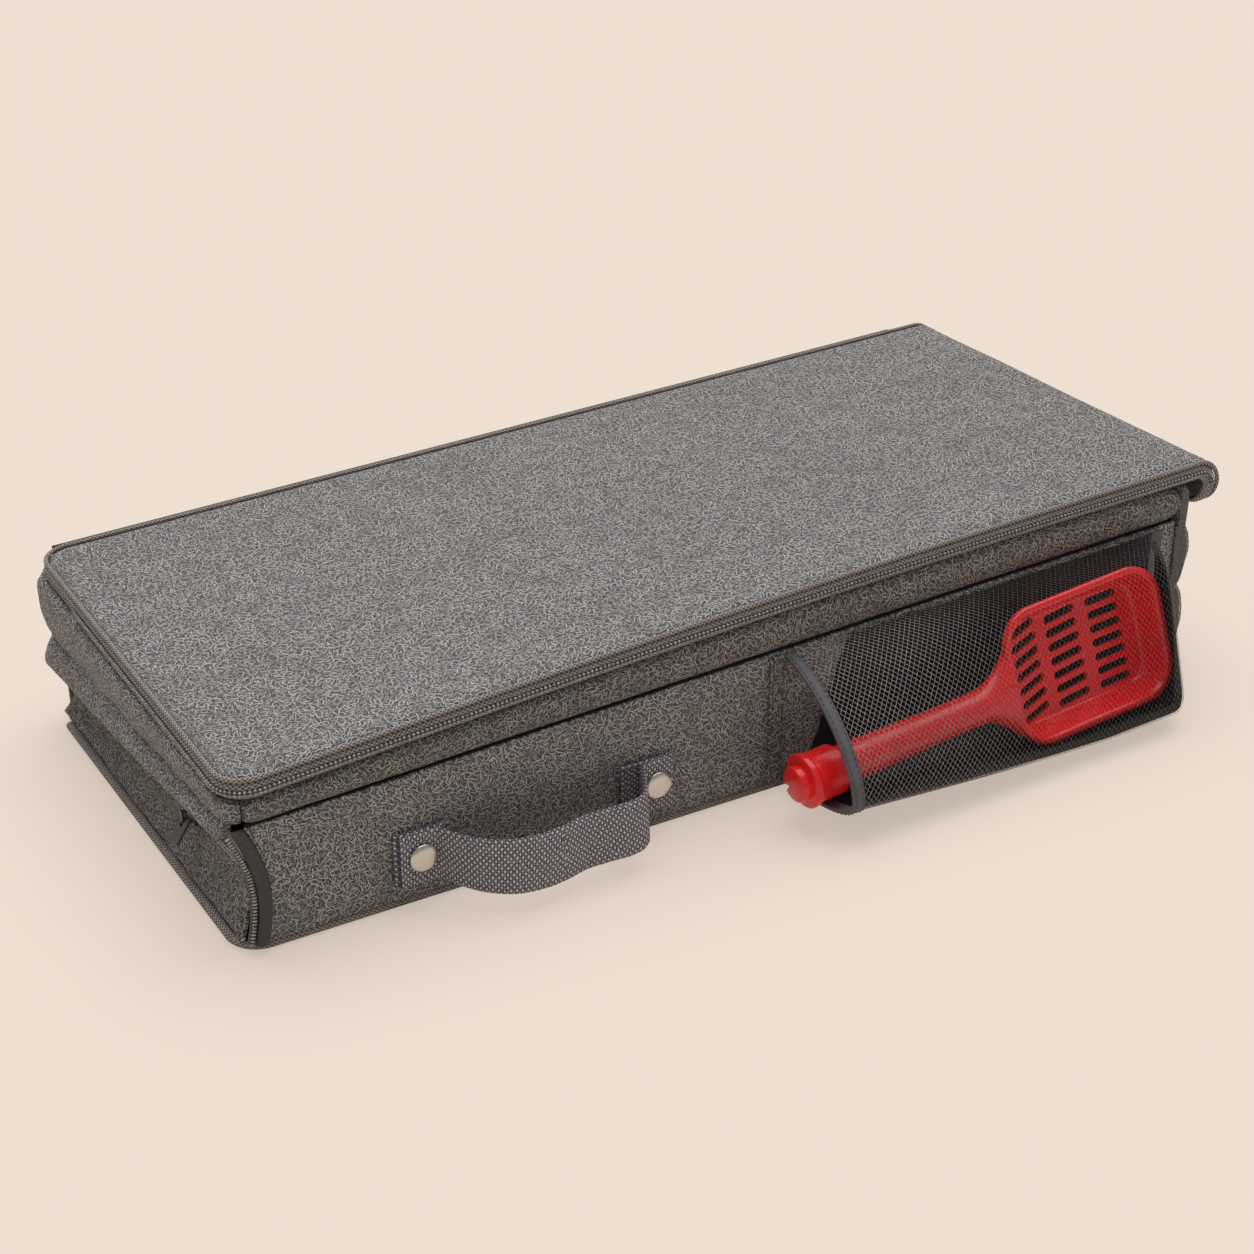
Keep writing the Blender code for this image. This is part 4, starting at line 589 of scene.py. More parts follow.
def row_tree():
    """Sets small rounded teeth or stitches along paths, each with its back to what carries it."""
    tree, given, curve = grower("row_of_teeth", ("Pitch", "Length", "Width", "Height"))
    feeds = {"Curve": curve, "Length": given["Pitch"]}
    even = add(tree, "GeometryNodeResampleCurve", feeds, mode="LENGTH").outputs[0]
    points = add(tree, "GeometryNodeCurveToPoints", {"Curve": even}, mode="EVALUATED")
    out = add(tree, "GeometryNodeInputNamedAttribute", {"Name": "face"}, data_type="FLOAT_VECTOR").outputs[0]
    feeds = {0: points.outputs["Tangent"], 1: out}
    turn = add(tree, "FunctionNodeAxesToRotation", feeds, primary_axis="X", secondary_axis="Z").outputs[0]
    tooth = add(tree, "GeometryNodeMeshUVSphere", {"Segments": 8, "Rings": 5, "Radius": 0.5}).outputs[0]
    feeds = {0: given["Length"], 1: given["Width"], 2: given["Height"]}
    size = add(tree, "ShaderNodeCombineXYZ", feeds).outputs[0]
    feeds = {"Points": points.outputs[0], "Instance": tooth, "Rotation": turn, "Scale": size}
    return finished(tree, add(tree, "GeometryNodeInstanceOnPoints", feeds).outputs[0], given["Finish"])


def grown(name, tree, paths, values):
    """Runs a node tree on paths of (place, outward direction), and keeps what it makes as a mesh."""
    corners, edges, faces = [], [], []
    for path in paths:
        edges += [(len(corners) + i, len(corners) + i + 1) for i in range(len(path) - 1)]
        corners += [at(*place) for place, out in path]
        faces += [tuple(Vector(out).normalized()) for place, out in path]
    guide = bpy.data.meshes.new(name + "_guide")
    guide.from_pydata(corners, edges, [])
    held = guide.attributes.new("face", "FLOAT_VECTOR", "POINT")
    held.data.foreach_set("vector", [v for out in faces for v in out])
    made = bpy.data.objects.new(name, guide)
    scene.collection.objects.link(made)
    modifier = made.modifiers.new("grown", "NODES")
    modifier.node_group = tree
    for item in tree.interface.items_tree:
        if item.in_out == "INPUT" and item.name in values:
            modifier[item.identifier] = values[item.name]
    keep_result(made)
    bpy.data.meshes.remove(guide)
    return made


def keep_result(made):
    """Keeps what an object's modifiers make as its mesh."""
    graph = bpy.context.evaluated_depsgraph_get()
    mesh = bpy.data.meshes.new_from_object(made.evaluated_get(graph))
    made.modifiers.clear()
    made.data = mesh


ROW = row_tree()


def toothed(name, paths, body, slot, finish, pitch, *size):
    values = dict(zip(("Length", "Width", "Height"), size))
    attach(grown(name, ROW, paths, {"Pitch": pitch, "Finish": finish, **values}), body)


def coil_row(name, paths, body, wide=0.0022, pitch=0.00145):
    """The turns of a coil zip, one by one, across its cord."""
    toothed(name, paths, body, "nylon_coil", COIL_WIRE, pitch, 0.62 * pitch, wide, TOOTH_HEIGHT)


def seam(name, paths, body, slot, pitch=0.0034):
    """A row of stitches lying on the cloth."""
    toothed(name, paths, body, slot, GREY_THREAD, pitch, 0.72 * pitch, STITCH_WIDTH, STITCH_HEIGHT)


def edge_binding(share, across):
    """The binding's two faces, at shares of its height and its width."""
    right = wall_left(share) - GAP
    left = right - BINDING_WIDTH
    x, z = between(left, right, across), between(WALL_FOOT, wall_top(left), share)
    crown = math.sin(math.pi * across) ** 0.5
    return (x, WALL_FACE + 0.0002 - 0.0010 * crown, z), (x, WALL_FACE + WALL_PADDING, z)


binding_shape = layered(steps(0.0, 1.0, 36), steps(0.0, 1.0, 8), edge_binding)
piece("wall_edge_binding", binding_shape, DARK_BINDING, "base", "left_edge_binding")
stitch_path, coil_path = [], []
for share in steps(0.0, 1.0, 40):
    x = wall_left(share) - 0.35 * BINDING_WIDTH
    z = between(WALL_FOOT + 0.002, wall_top(x) - 0.002, share)
    stitch_path.append(((x, WALL_FACE - 0.0008, z), (0, -1, 0)))
    x = wall_left(share) - BINDING_WIDTH - CORNER_COIL - 2 * GAP
    z = between(WALL_FOOT + CORNER_COIL, wall_top(x) - CORNER_COIL, share)
    coil_path.append(((x, CORNER_TEETH_FACE, z), (-0.3, -1, 0)))
seam("wall_edge_stitches", [stitch_path], "base", "smooth_binding")
coil_row("corner_zip_teeth", [coil_path], "base")
paint("corner_zip_coil", COIL_CORD)

# The left end. A soft padded panel leans in from the floor's edge to a coil zip, whose woven
# tape stands above it. The slider is cast metal with a plain square pull.
END_FRONT, END_BACK, END_REACH = 0.0040, 0.205, 0.2088
END_FACE, END_PADDING, END_TAPE_WIDTH = 0.0070, 0.0030, 0.0065
END_ZIP_RADIUS, END_ZIP_HIGH, END_ZIP_LOW = 0.0014, 0.038, 0.018
END_TEETH_RISE, END_TEETH_OUT = 0.0009, 0.0011
END_ZIP_FACE = END_FACE + END_ZIP_RADIUS - 2 * GAP


def zip_height(y):
    return between(END_ZIP_HIGH, END_ZIP_LOW, y / END_BACK)


def end_panel(y, share):
    """The lower panel's two faces, at a depth and at a share of its height."""
    foot, top = 2 * PIPING_RADIUS + 3 * GAP, zip_height(y) - END_ZIP_RADIUS - GAP
    x, z = between(FABRIC, END_FACE, math.sin(0.5 * math.pi * share)), between(foot, top, share)
    dip = 0.0010 * faded(min(z - foot, top - z, y - END_FRONT, END_REACH - y), 0.004)
    return (x + dip + sunk(x, y, 1.6 * z, 0.013, 0.0012), y, z), (x + END_PADDING, y, z)


def end_tape(y, share):
    z = zip_height(y) + END_ZIP_RADIUS + GAP + END_TAPE_WIDTH * share
    return (END_ZIP_FACE - 0.0003 * math.sin(math.pi * share), y, z), (END_ZIP_FACE + FABRIC, y, z)


end_rows = steps(END_FRONT, END_REACH, 60)
panel_shape = layered(end_rows, steps(0.0, 1.0, 16), end_panel)
# The lower panel takes the darker copy of the cloth, as painted shade.
lower_end = piece("left_lower_panel", panel_shape, PAINTED_SHADE_CLOTH, "base", "left_end_panel")
tape_shape = layered(end_rows, steps(0.0, 1.0, 6), end_tape)
piece("left_zip_tape", tape_shape, TAPE, "base", "end_zip_tape")
zip_rows = []
for rise in (-END_TEETH_RISE, END_TEETH_RISE):
    teeth = steps(END_FRONT + 0.001, END_BACK - 0.001, 80)
    zip_rows.append([((END_ZIP_FACE - END_TEETH_OUT, y, zip_height(y) + rise), (-1, 0, 0)) for y in teeth])
coil_row("left_zip_teeth", zip_rows, "base", 0.0014)
paint("end_zip_coil", COIL_CORD)


def cast(name, colour, roughness, metallic, grain):
    """Cast or spun metal, with a fine grain in its polish."""
    finish, shader = shader_of(name, roughness, metallic)
    wear = clouds(places(shader), grain, 4.0)
    rough = ranged(wear, 0.0, 1.0, 0.8 * roughness, 1.25 * roughness)
    shader.id_data.links.new(rough, shader.inputs["Roughness"])
    dress(shader, mixed(wear, darker(colour, 0.72), colour), wear, 0.08, 0.0001)
    return finish


GUNMETAL = cast("gunmetal_cast", (0.115, 0.120, 0.132), 0.38, 0.85, 420.0)
paint("zip_slider", GUNMETAL)
paint("zip_pull", GUNMETAL)

# The right end. The side wall's soft cloth folds in on itself: two full rolls, one above the
# other, with a pinched seam between them.
LID_PADDING, LID_CROWN = 0.0044, 0.0034
FRONT_LEFT_HEIGHT, FRONT_RIGHT_HEIGHT, BACK_LEFT_HEIGHT, BACK_RIGHT_HEIGHT = 0.076, 0.101, 0.082, 0.097
LID_THICKNESS = LID_PADDING + BOARD + FABRIC + 4 * GAP
LIP_START = LENGTH + 0.007
LIP_RADIUS, LIP_TAIL = 0.0133, 0.0125
LID_RIGHT = LIP_START + 0.5 * math.pi * LIP_RADIUS + LIP_TAIL
FOLD_START = WALL_RIGHT + GAP + FABRIC
FOLD_DROP, FOLD_NECK, NECK_RISE, PINCH_SHARE = 0.0290, 0.0135, 0.0080, 0.555
ROLL_DIMPLES = ((0.024, 0.0022), (0.009, 0.0007))


def lid_top(x, y):
    """The height of the lid's upper face, before its right end is rolled over."""
    along = x / LENGTH
    crown = LID_CROWN * math.sin(math.pi * min(max(along, 0.0), 1.0))
    front = between(FRONT_LEFT_HEIGHT, FRONT_RIGHT_HEIGHT, along) + crown
    return between(front, between(BACK_LEFT_HEIGHT, BACK_RIGHT_HEIGHT, along), y / DEPTH)


def rolled_over(x, y, z):
    """Where a place of the flat lid goes when its right end is rolled over and hangs down."""
    over = x - LIP_START
    if over <= 0.0:
        return x, y, z
    radius = LIP_RADIUS + z - lid_top(x, y)
    turn = min(over / LIP_RADIUS, 0.5 * math.pi)
    tail = over - turn * LIP_RADIUS
    middle = lid_top(LIP_START, y) - LIP_RADIUS
    return LIP_START + radius * math.sin(turn), y, middle + radius * math.cos(turn) - tail


def side_roll(reach, upper, seed):
    """One full roll of cloth. The upper one narrows to a neck that runs up inside the lid."""
    rings = []
    for share in [0.0, 0.006, 0.015, 0.03, *steps(0.05, 0.95, 40), 0.97, 0.985, 0.994, 1.0]:
        y = between(WALL_FACE, BASE_BACK - GAP, share)
        face = lid_top(LENGTH, y)
        pinch = between(WALL_FOOT, face - FOLD_DROP, PINCH_SHARE)
        low, high = (pinch, face - FOLD_DROP) if upper else (WALL_FOOT, pinch - GAP)
        fullness = math.sqrt(max(0.10, 1.0 - (2 * share - 1.0) ** 8))
        neck = FOLD_START + FOLD_NECK * fullness
        ring = []
        for k in range(25):
            turn = math.pi * k / 24
            z = between(low, high, 0.5 * (1.0 - math.cos(turn)))
            dip = sum(sunk(seed, y, z, size, depth) for size, depth in ROLL_DIMPLES)
            out = reach * fullness * math.sin(turn) ** 0.8 - dip * math.sin(turn)
            x = FOLD_START + max(0.0, out)
            ring.append((max(x, neck - 0.0004) if upper and k > 12 else x, y, z))
        if upper:
            ceiling = face - LID_THICKNESS - FABRIC
            for turn in steps(0.0, 0.5 * math.pi, 6):
                x = between(FOLD_START, neck, 0.55 + 0.45 * math.cos(turn))
                ring.append((x, y, between(ceiling - NECK_RISE, ceiling, math.sin(turn))))
            ring += [(FOLD_START, y, ceiling), (FOLD_START, y, high)]
        rings.append(ring + [(FOLD_START - FABRIC, y, high), (FOLD_START - FABRIC, y, low)])
    return sleeve(rings)


for level, roll_shape in (("lower", side_roll(0.0250, False, 0.2)), ("upper", side_roll(0.0240, True, 0.7))):
    node = "right_" + level + "_fold"
    piece("right_" + level + "_roll", roll_shape, CLOTH, "base", node)

# The back panel. Cloth, a board and a liner, hinged on strips of cloth at the floor and at the
# lid. Only its cover is seen while the box is folded.
SPINE_INSET, SPINE_GAP, SPINE_COLUMN, STRIP_THICKNESS = 0.0072, 0.001, 0.0046, 0.0007


def spine_layer(back, thickness, inset, rumple):
    """One layer of the back panel, with a soft edge where it is padded."""

    def faces_at(i, share):
        x = between(SPINE_INSET + inset, LENGTH - SPINE_INSET - inset, i / 90)
        low, high = SPINE_GAP + inset, lid_top(x, DEPTH) - LID_THICKNESS - SPINE_GAP - inset
        z = between(low, high, share)
        edge = min(z - low, high - z, SPINE_COLUMN * i, SPINE_COLUMN * (90 - i))
        dip = 0.4 * thickness * faded(edge, 0.005) if rumple else 0.0
        return (x, back - dip - sunk(x, 0.5, 1.5 * z, 0.024, rumple), z), (x, back - thickness, z)

    return layered(range(91), steps(0.0, 1.0, 20), faces_at)


spine_shape = spine_layer(DEPTH, SPINE_PADDING, 0.0, 0.0007)
spine_node = "back_panel_cover"
spine_cover = piece("back_panel_cloth", spine_shape, CLOTH, "back_panel", spine_node)
paint("back_panel_board", BOARD_FINISH)
spine_shape = spine_layer(DEPTH - SPINE_PADDING - BOARD - 2 * GAP, FABRIC, FABRIC, 0.0)
spine_node = "back_panel_liner"
spine_liner = piece("back_panel_lining", spine_shape, LINER, "back_panel", spine_node)


def hinge_strip(name, line):
    """A strip of smooth cloth across a fold: a line of (y, z, slope) drawn out along the box.
    """
    outer, inner = [], []
    for x in steps(SPINE_INSET + 0.001, LENGTH - SPINE_INSET - 0.001, 60):
        lift = lid_top(x, DEPTH) - lid_top(0.0, DEPTH)
        row = [(x, y, z + slope * lift) for y, z, slope in line]
        low = []
        for (_, y, z), before, after in zip(row, row[:1] + row, row[1:] + row[-1:]):
            run = Vector((0.0, after[1] - before[1], after[2] - before[2])).normalized()
            low.append((x, y - STRIP_THICKNESS * run.z, z + STRIP_THICKNESS * run.y))
        outer.append(row)
        inner.append(low)
    strip = piece(name, quilt(outer, inner), DARK_BINDING)
    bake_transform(strip)


millimetres = ((209.4, 1.0), (210.6, 0.8), (212.0, 0.75), (213.4, 0.75), (214.6, 0.9), (215.3, 1.5))
floor_hinge = [(0.001 * y, 0.001 * z, 0) for y, z in millimetres]
start, end = (0.5 * LENGTH, 0.2100, 0.0010), (0.5 * LENGTH, 0.2150, 0.0010)
hinge_strip("floor_hinge_strip", floor_hinge)
spine_top = lid_top(0.0, DEPTH) - LID_THICKNESS - SPINE_GAP
lid_hinge = [(DEPTH + 0.0005, z, 1.0) for z in steps(spine_top - 0.004, spine_top + 0.0094, 8)]
lid_axis = Vector((0.5 * LENGTH, DEPTH, 0.0895))
across_hinge = Vector((-0.0326, 0.0, 0.9995)) * 0.0026
start, end = lid_axis - across_hinge, lid_axis + across_hinge
hinge_strip("lid_hinge_strip", lid_hinge)

# The lid. A padded cloth top on a board, with a coated liner below, closed all round by a band
# of ribbed tape. A thin piped seam runs along its top edge, and its right end is rolled over.
BAND_THICKNESS = 0.0022
COVER_INSET = BAND_THICKNESS + 2 * GAP
LID_CORNER = 0.014
LID_BACK = DEPTH - GAP
LID_SWELL, LID_WRINKLE, LID_EDGE = 0.060, 0.018, 0.0055


def lid_layer(drop, thickness, roll, rumple):
    """One layer of the lid, with round corners and its right end rolled over."""
    right, corner = LID_RIGHT - COVER_INSET, LID_CORNER - COVER_INSET
    bends = [corner * (1 - math.cos(0.5 * math.pi * i / 9)) for i in range(9)]
    columns = [COVER_INSET + bend for bend in bends] + steps(LID_CORNER, LIP_START, 110)
    columns += steps(LIP_START, LID_RIGHT - LID_CORNER, 20)[1:] + [right - bend for bend in reversed(bends)]
    ends = [0.0, 0.003, 0.008, 0.016, 0.028]

    def faces_at(x, share):
        cut = rounding(min(x - COVER_INSET, right - x), corner)
        low, high = COVER_INSET + cut, LID_BACK - COVER_INSET - cut
        y = between(low, high, share)
        edge = min(y - low, high - y, x - COVER_INSET, right - x)
        soft = sunk(x, y, 0.0, LID_SWELL, rumple) + sunk(x, y, 0.3, LID_WRINKLE, 0.35 * rumple)
        sink = roll * faded(edge, LID_EDGE, 2.4) + soft * smooth(edge / 0.012)
        top = lid_top(x, y) - drop
        return rolled_over(x, y, top - sink), rolled_over(x, y, top - thickness)

    return layered(columns, [*ends, *steps(0.05, 0.95, 44), *(1.0 - end for end in reversed(ends))], faces_at)


lid_shape = lid_layer(0.0, LID_PADDING, 0.0016, 0.0007)
lid_cover = piece("lid_cloth", lid_shape, CLOTH, "lid", "lid_cover")
paint("lid_board", BOARD_FINISH)
lid_shape = lid_layer(LID_PADDING + BOARD + 2 * GAP, FABRIC, 0.0, 0.0)
lid_liner = piece("lid_lining", lid_shape, LINER, "lid", "lid_liner")


def lid_outline():
    """Places round the flat lid's edge with the way out of it: (x, y, out)."""
    near, right, back = LID_CORNER, LID_RIGHT - LID_CORNER, LID_BACK - LID_CORNER
    corners = ((near, near, 1.0), (right, near, 1.5), (right, back, 0.0), (near, back, 0.5))
    flat = (LIP_START - LID_CORNER) / (LID_RIGHT - 2 * LID_CORNER)
    front = steps(0.0, flat, 120)[1:] + steps(flat, 1.0, 16)[1:-1]
    side = steps(0.0, 1.0, 50)[1:-1]
    points = []
    sides = (front, side, [1.0 - share for share in reversed(front)], side)
    for (x, y, start), (after_x, after_y, _), shares in zip(corners, corners[1:] + corners[:1], sides):
        for turn in steps(start * math.pi, (start + 0.5) * math.pi, 12):
            out = (math.cos(turn), math.sin(turn))
            points.append((x + LID_CORNER * out[0], y + LID_CORNER * out[1], out))
        near_x, near_y, _ = points[-1]
        far_x, far_y = after_x + LID_CORNER * out[0], after_y + LID_CORNER * out[1]
        points += [(between(near_x, far_x, share), between(near_y, far_y, share), out) for share in shares]
    return points


OUTLINE = lid_outline()


def edge_place(x, y, out, away, up):
    """A place by the lid's edge: a distance out from it, and a height from the lid's face."""
    px, py = x + out[0] * away, y + out[1] * away
    return rolled_over(px, py, lid_top(px, py) + up)


def edge_ring(section, points=None):
    """Sweeps a section of (out, up) round the lid's edge."""
    rings = [[edge_place(x, y, out, away, up) for away, up in section] for x, y, out in points or OUTLINE]
    return sleeve(rings, points is None)


def round_section(away, up, radius, sides=10):
    return [(away + radius * math.cos(t), up + radius * math.sin(t)) for t in turned(sides)]


BAND_HIGH, BAND_LOW = -0.0023, -LID_THICKNESS
ZIP_LINE, ZIP_HALF_GAP, LID_TEETH_OUT = -0.0060, 0.0002, 0.0008
REAR_POINTS, FRONT_POINTS = 40, 148
band_section = [(-BAND_THICKNESS, BAND_HIGH), (-BAND_THICKNESS, BAND_LOW)]
for share in steps(0.0, 1.0, 7):
    away = -0.0013 * (1.0 - math.sin(0.5 * math.pi * share))
    band_section.append((away, between(BAND_LOW, ZIP_LINE - ZIP_HALF_GAP, share)))
for share in steps(0.0, 1.0, 7):
    away = -0.0006 + 0.0006 * math.sin(math.pi * share) - 0.0011 * share ** 3
    band_section.append((away, between(ZIP_LINE + ZIP_HALF_GAP, BAND_HIGH, share)))
piece("lid_edge_band", edge_ring(band_section), TAPE, "lid", "lid_band")
cord_shape = edge_ring(round_section(-0.0013, -0.0011, 0.0010))
piece("lid_edge_piping", cord_shape, TAPE, "lid", "lid_piping")
zip_points = OUTLINE[-REAR_POINTS:] + OUTLINE[:FRONT_POINTS]
cord_shape = edge_ring(round_section(0.0005, -0.0056, 0.0006, 8), zip_points)
piece("lid_zip_cord", cord_shape, COIL_CORD, "lid", "lid_zip_coil")
lid_teeth = []
for rise in (-0.0049, -0.0062):
    lid_teeth.append([(edge_place(x, y, out, LID_TEETH_OUT, rise), (*out, 0.25)) for x, y, out in zip_points])
coil_row("lid_zip_teeth", lid_teeth, "lid", 0.0011, 0.0019)

# The left end's soft fold hangs from the lid: the side wall's cloth, doubled and padded, which
# tucks in behind the zip below it.
FOLD_X, FOLD_Y, FOLD_FACE, FOLD_CREASE = 0.0063, 0.0083, 0.0030, 0.40
FOLD_FOOT_FRONT, FOLD_FOOT_REAR, FOLD_SWELL, FOLD_DEEP = 0.047, 0.0285, 0.0062, 0.0030


def fold_line():
    """Places along the fold, from its rear end round the front corner: (x, y, out)."""
    radius = FOLD_X - FOLD_FACE
    line = [(FOLD_X - radius, y, (-1.0, 0.0)) for y in steps(LID_BACK - GAP, FOLD_Y, 70)]
    for turn in steps(0.0, 0.5 * math.pi, 12)[1:]:
        out = (-math.cos(turn), -math.sin(turn))
        line.append((FOLD_X + radius * out[0], FOLD_Y + radius * out[1], out))
    return line


def hanging_fold(spot, up):
    """The fold's two faces, at a place along it and at a share of its height."""
    x, y, out = spot
    front = faded(max(0.0, y - FOLD_Y), 0.0045, 1)
    low = between(FOLD_FOOT_FRONT, FOLD_FOOT_REAR, y / END_BACK)
    low = max(low, between(low, far_wall_underside(0.0) + GAP, front))
    high = lid_top(0.0, y) - LID_THICKNESS - 2 * GAP
    fullness = between(0.65, 1.0, min(1.0, 2 * y / DEPTH)) * min(1.0, (LID_BACK - y) / 0.006)
    wave = FOLD_CREASE + 0.05 * noise.noise(Vector((0.3, y / 0.045, 0.0)))
    above = (up - wave) / (1.0 - wave)
    roll = above if above > 0.0 else up / wave
    one = abs(math.sin(math.pi * up)) ** 0.6
    two = between(0.22, 1.0, abs(math.sin(math.pi * roll)) ** 0.55) if 0.0 < up < 1.0 else 0.0
    z = between(low, high, 0.5 - 0.5 * math.cos(math.pi * up))
    dip = one * (sunk(0.4, y, 1.4 * z, 0.019, 0.0014) + sunk(0.8, y, z, 0.006, 0.0004))
    away = FOLD_SWELL * fullness * between(two, one, front) - dip
    deep = FOLD_DEEP * between(0.2, 1.0, one)
    return (x + out[0] * away, y + out[1] * away, z), (x - out[0] * deep, y - out[1] * deep, z)


fold_shape = layered(fold_line(), steps(0.0, 1.0, 36), hanging_fold)
piece("left_hanging_fold", fold_shape, CLOTH, "lid", "left_end_fold")

# The far wall of the open tray, folded in under the lid. A thick padded roll along the front
# covers the front wall's top edge, with a board and a liner on its upper side.
FAR_WALL_START = 0.0060 + 2 * GAP
FAR_WALL_END = WALL_RIGHT + FABRIC
FAR_WALL_HEIGHT, FAR_WALL_FACE = 0.081, -0.0020
NOSE = 0.006
LAYER_STEP = BOARD + FABRIC + 2 * GAP


def under_lid(x, y):
    return lid_top(x, y) - LID_THICKNESS - GAP


def far_wall_roll():
    """The padded roll: round along the front, with a step on its upper side for board and liner."""
    rings = []
    shares = [0.0, 0.002, 0.004, 0.008, 0.012, 0.02, *steps(0.03, 0.97, 90)]
    for share in shares + [0.98, 0.988, 0.992, 0.996, 0.998, 1.0]:
        x = between(FAR_WALL_START, FAR_WALL_END, share)
        fullness = 0.6 + 0.4 * math.sqrt(min(1.0, min(share, 1.0 - share) / 0.012))
        low, high = far_wall_underside(x), under_lid(x, 0.0)
        middle = between(low, high, 0.5)
        half = 0.5 * (high - low) * fullness
        ring = []
        for turn in steps(0.0, math.pi, 16):
            z = middle - half * math.cos(turn)
            dip = sunk(x, 0.3, z, 0.017, 0.0012) * math.sin(turn)
            ring.append((x, FAR_WALL_FACE + NOSE * (1.0 - math.sin(turn) ** 0.8) + dip, z))
        step = NOSE + FABRIC
        under = min(middle + half, under_lid(x, step))
        ring += [(x, step, under), (x, step, under - LAYER_STEP)]
        back_high = under_lid(x, FAR_WALL_HEIGHT) - LAYER_STEP
        back_low = min(middle - half, back_high - 6 * FABRIC)
        ring.append((x, FAR_WALL_HEIGHT - NOSE, back_high))
        ring += [(x, FAR_WALL_HEIGHT, back_high - 2 * FABRIC), (x, FAR_WALL_HEIGHT, back_low + 2 * FABRIC)]
        for inward in steps(0.0, 1.0, 8):
            y = between(FAR_WALL_HEIGHT - NOSE, 0.012, inward)
            flat = between(back_low, middle - half, inward)
            ring.append((x, y, flat + sunk(x, y, 0.9, 0.025, 0.0012) * math.sin(math.pi * inward)))
        rings.append(ring)
    return sleeve(rings)


def far_wall_sheet(x, y):
    z = under_lid(x, y)
    return (x, y, z), (x, y, z - FABRIC)


far_shape = far_wall_roll()
# The roll takes the darker copy of the cloth, as painted shade.
far_roll = piece("far_wall_roll", far_shape, PAINTED_SHADE_CLOTH, "far_wall", "far_wall_pad")
sheet_edge = NOSE + FABRIC + 2 * GAP
sheet_rows = steps(FAR_WALL_START + NOSE, FAR_WALL_END - NOSE, 60)
far_shape = layered(sheet_rows, steps(sheet_edge, FAR_WALL_HEIGHT - sheet_edge, 12), far_wall_sheet)
far_liner = piece("far_wall_lining", far_shape, LINER, "far_wall", "far_wall_liner")
paint("far_wall_board", BOARD_FINISH)

# The carrying handle. A length of coarse webbing, its ends laid on webbing patches that are
# stitched to the wall, and held by domed nickel rivets with washers behind the wall.
STRAP_WIDTH, STRAP_THICKNESS = 0.0238, 0.0018
STRAP_LEFT, STRAP_RIGHT, STRAP_HEIGHT = 0.0660, 0.1885, 0.0243
STRAP_BOW, STRAP_SAG, STRAP_EDGE = 0.0205, 0.0045, 0.0009
STRAP_WAVE = ((0.0, 0.0), (0.11, 0.60), (0.24, 0.93), (0.38, 1.0), (0.50, 0.94), (0.61, 0.84), (0.73, 0.88))
STRAP_WAVE += ((0.83, 0.95), (0.91, 0.86), (0.97, 0.36), (1.0, 0.0))
RIVET_LEFT, RIVET_RIGHT, RIVET_HEIGHT, RIVET_RADIUS = 0.0755, 0.1811, 0.0249, 0.0060
PATCH_FACE = WALL_FACE - GAP - STRAP_THICKNESS
STRAP_FACE = PATCH_FACE - GAP - STRAP_THICKNESS
PATCH_HALF_HEIGHT, PATCH_WIDTH = 0.0118, 0.0240


def basket(name, deep, light, yarn):
    """Coarse webbing: fat yarns pass over and under each other in pairs, with painted highlights."""
    finish, shader = shader_of(name, 0.88, specular=0.3)
    place = places(shader)
    drift = times(less(clouds(place, 260.0, 2.0), 0.5), 0.9)
    u, v = spots(shader)
    along = plus(worked("DIVIDE", u, yarn), drift)
    across = plus(worked("DIVIDE", v, 0.85 * yarn), drift)
    over = worked("FLOORED_MODULO", plus(worked("FLOOR", along), worked("FLOOR", across)), 2.0)
    warp, weft = (worked("SINE", times(worked("FRACT", way), math.pi)) for way in (along, across))
    one = times(over, worked("POWER", weft, 0.6))
    other = times(less(1.0, over), worked("POWER", warp, 0.6))
    crown = times(plus(warp, weft), 0.62)
    # Painted highlight: each yarn's colour is lightest along its crown and darker towards its sides.
    pale = times(plus(one, times(other, 0.30)), crown)
    fuzz = times(less(clouds(place, 1500.0, 3.0), 0.5), 0.8)
    colour = mixed(plus(times(pale, 0.85), fuzz), deep, light)
    dress(shader, colour, times(plus(one, other), crown), 0.8, 0.0005)
    return finish


# The pale colour is the painted highlight on the yarns' crowns.
WEBBING = basket("basket_webbing", (0.036, 0.032, 0.039), (0.820, 0.765, 0.830), 0.0014)


def through(points, place):
    """The height at a place of a smooth curve through (place, height) points."""
    stops, heights = zip(*points)
    slopes = []
    for i in range(len(points)):
        a, b = max(0, i - 1), min(len(points) - 1, i + 1)
        slopes.append((heights[b] - heights[a]) / (stops[b] - stops[a]))
    i = max(k for k in range(len(points) - 1) if stops[k] <= place)
    span = stops[i + 1] - stops[i]
    t = (place - stops[i]) / span
    start = heights[i] * (1.0 + 2.0 * t) * (1.0 - t) ** 2 + heights[i + 1] * t * t * (3.0 - 2.0 * t)
    return start + span * (slopes[i] * t * (1.0 - t) ** 2 - slopes[i + 1] * t * t * (1.0 - t))


def strap_line(share):
    """The webbing's back face at mid-width: it bows out from the wall and dips between the rivets."""
    x = between(STRAP_LEFT, STRAP_RIGHT, share)
    held = RIVET_RADIUS + STRAP_THICKNESS
    free = (x - RIVET_LEFT - held) / (RIVET_RIGHT - RIVET_LEFT - 2 * held)
    free = min(1.0, max(0.0, free))
    bow = STRAP_BOW * through(STRAP_WAVE, free)
    dip = STRAP_SAG * abs(math.sin(math.pi * free)) ** 0.7
    return x, STRAP_FACE + STRAP_THICKNESS - bow, STRAP_HEIGHT - dip


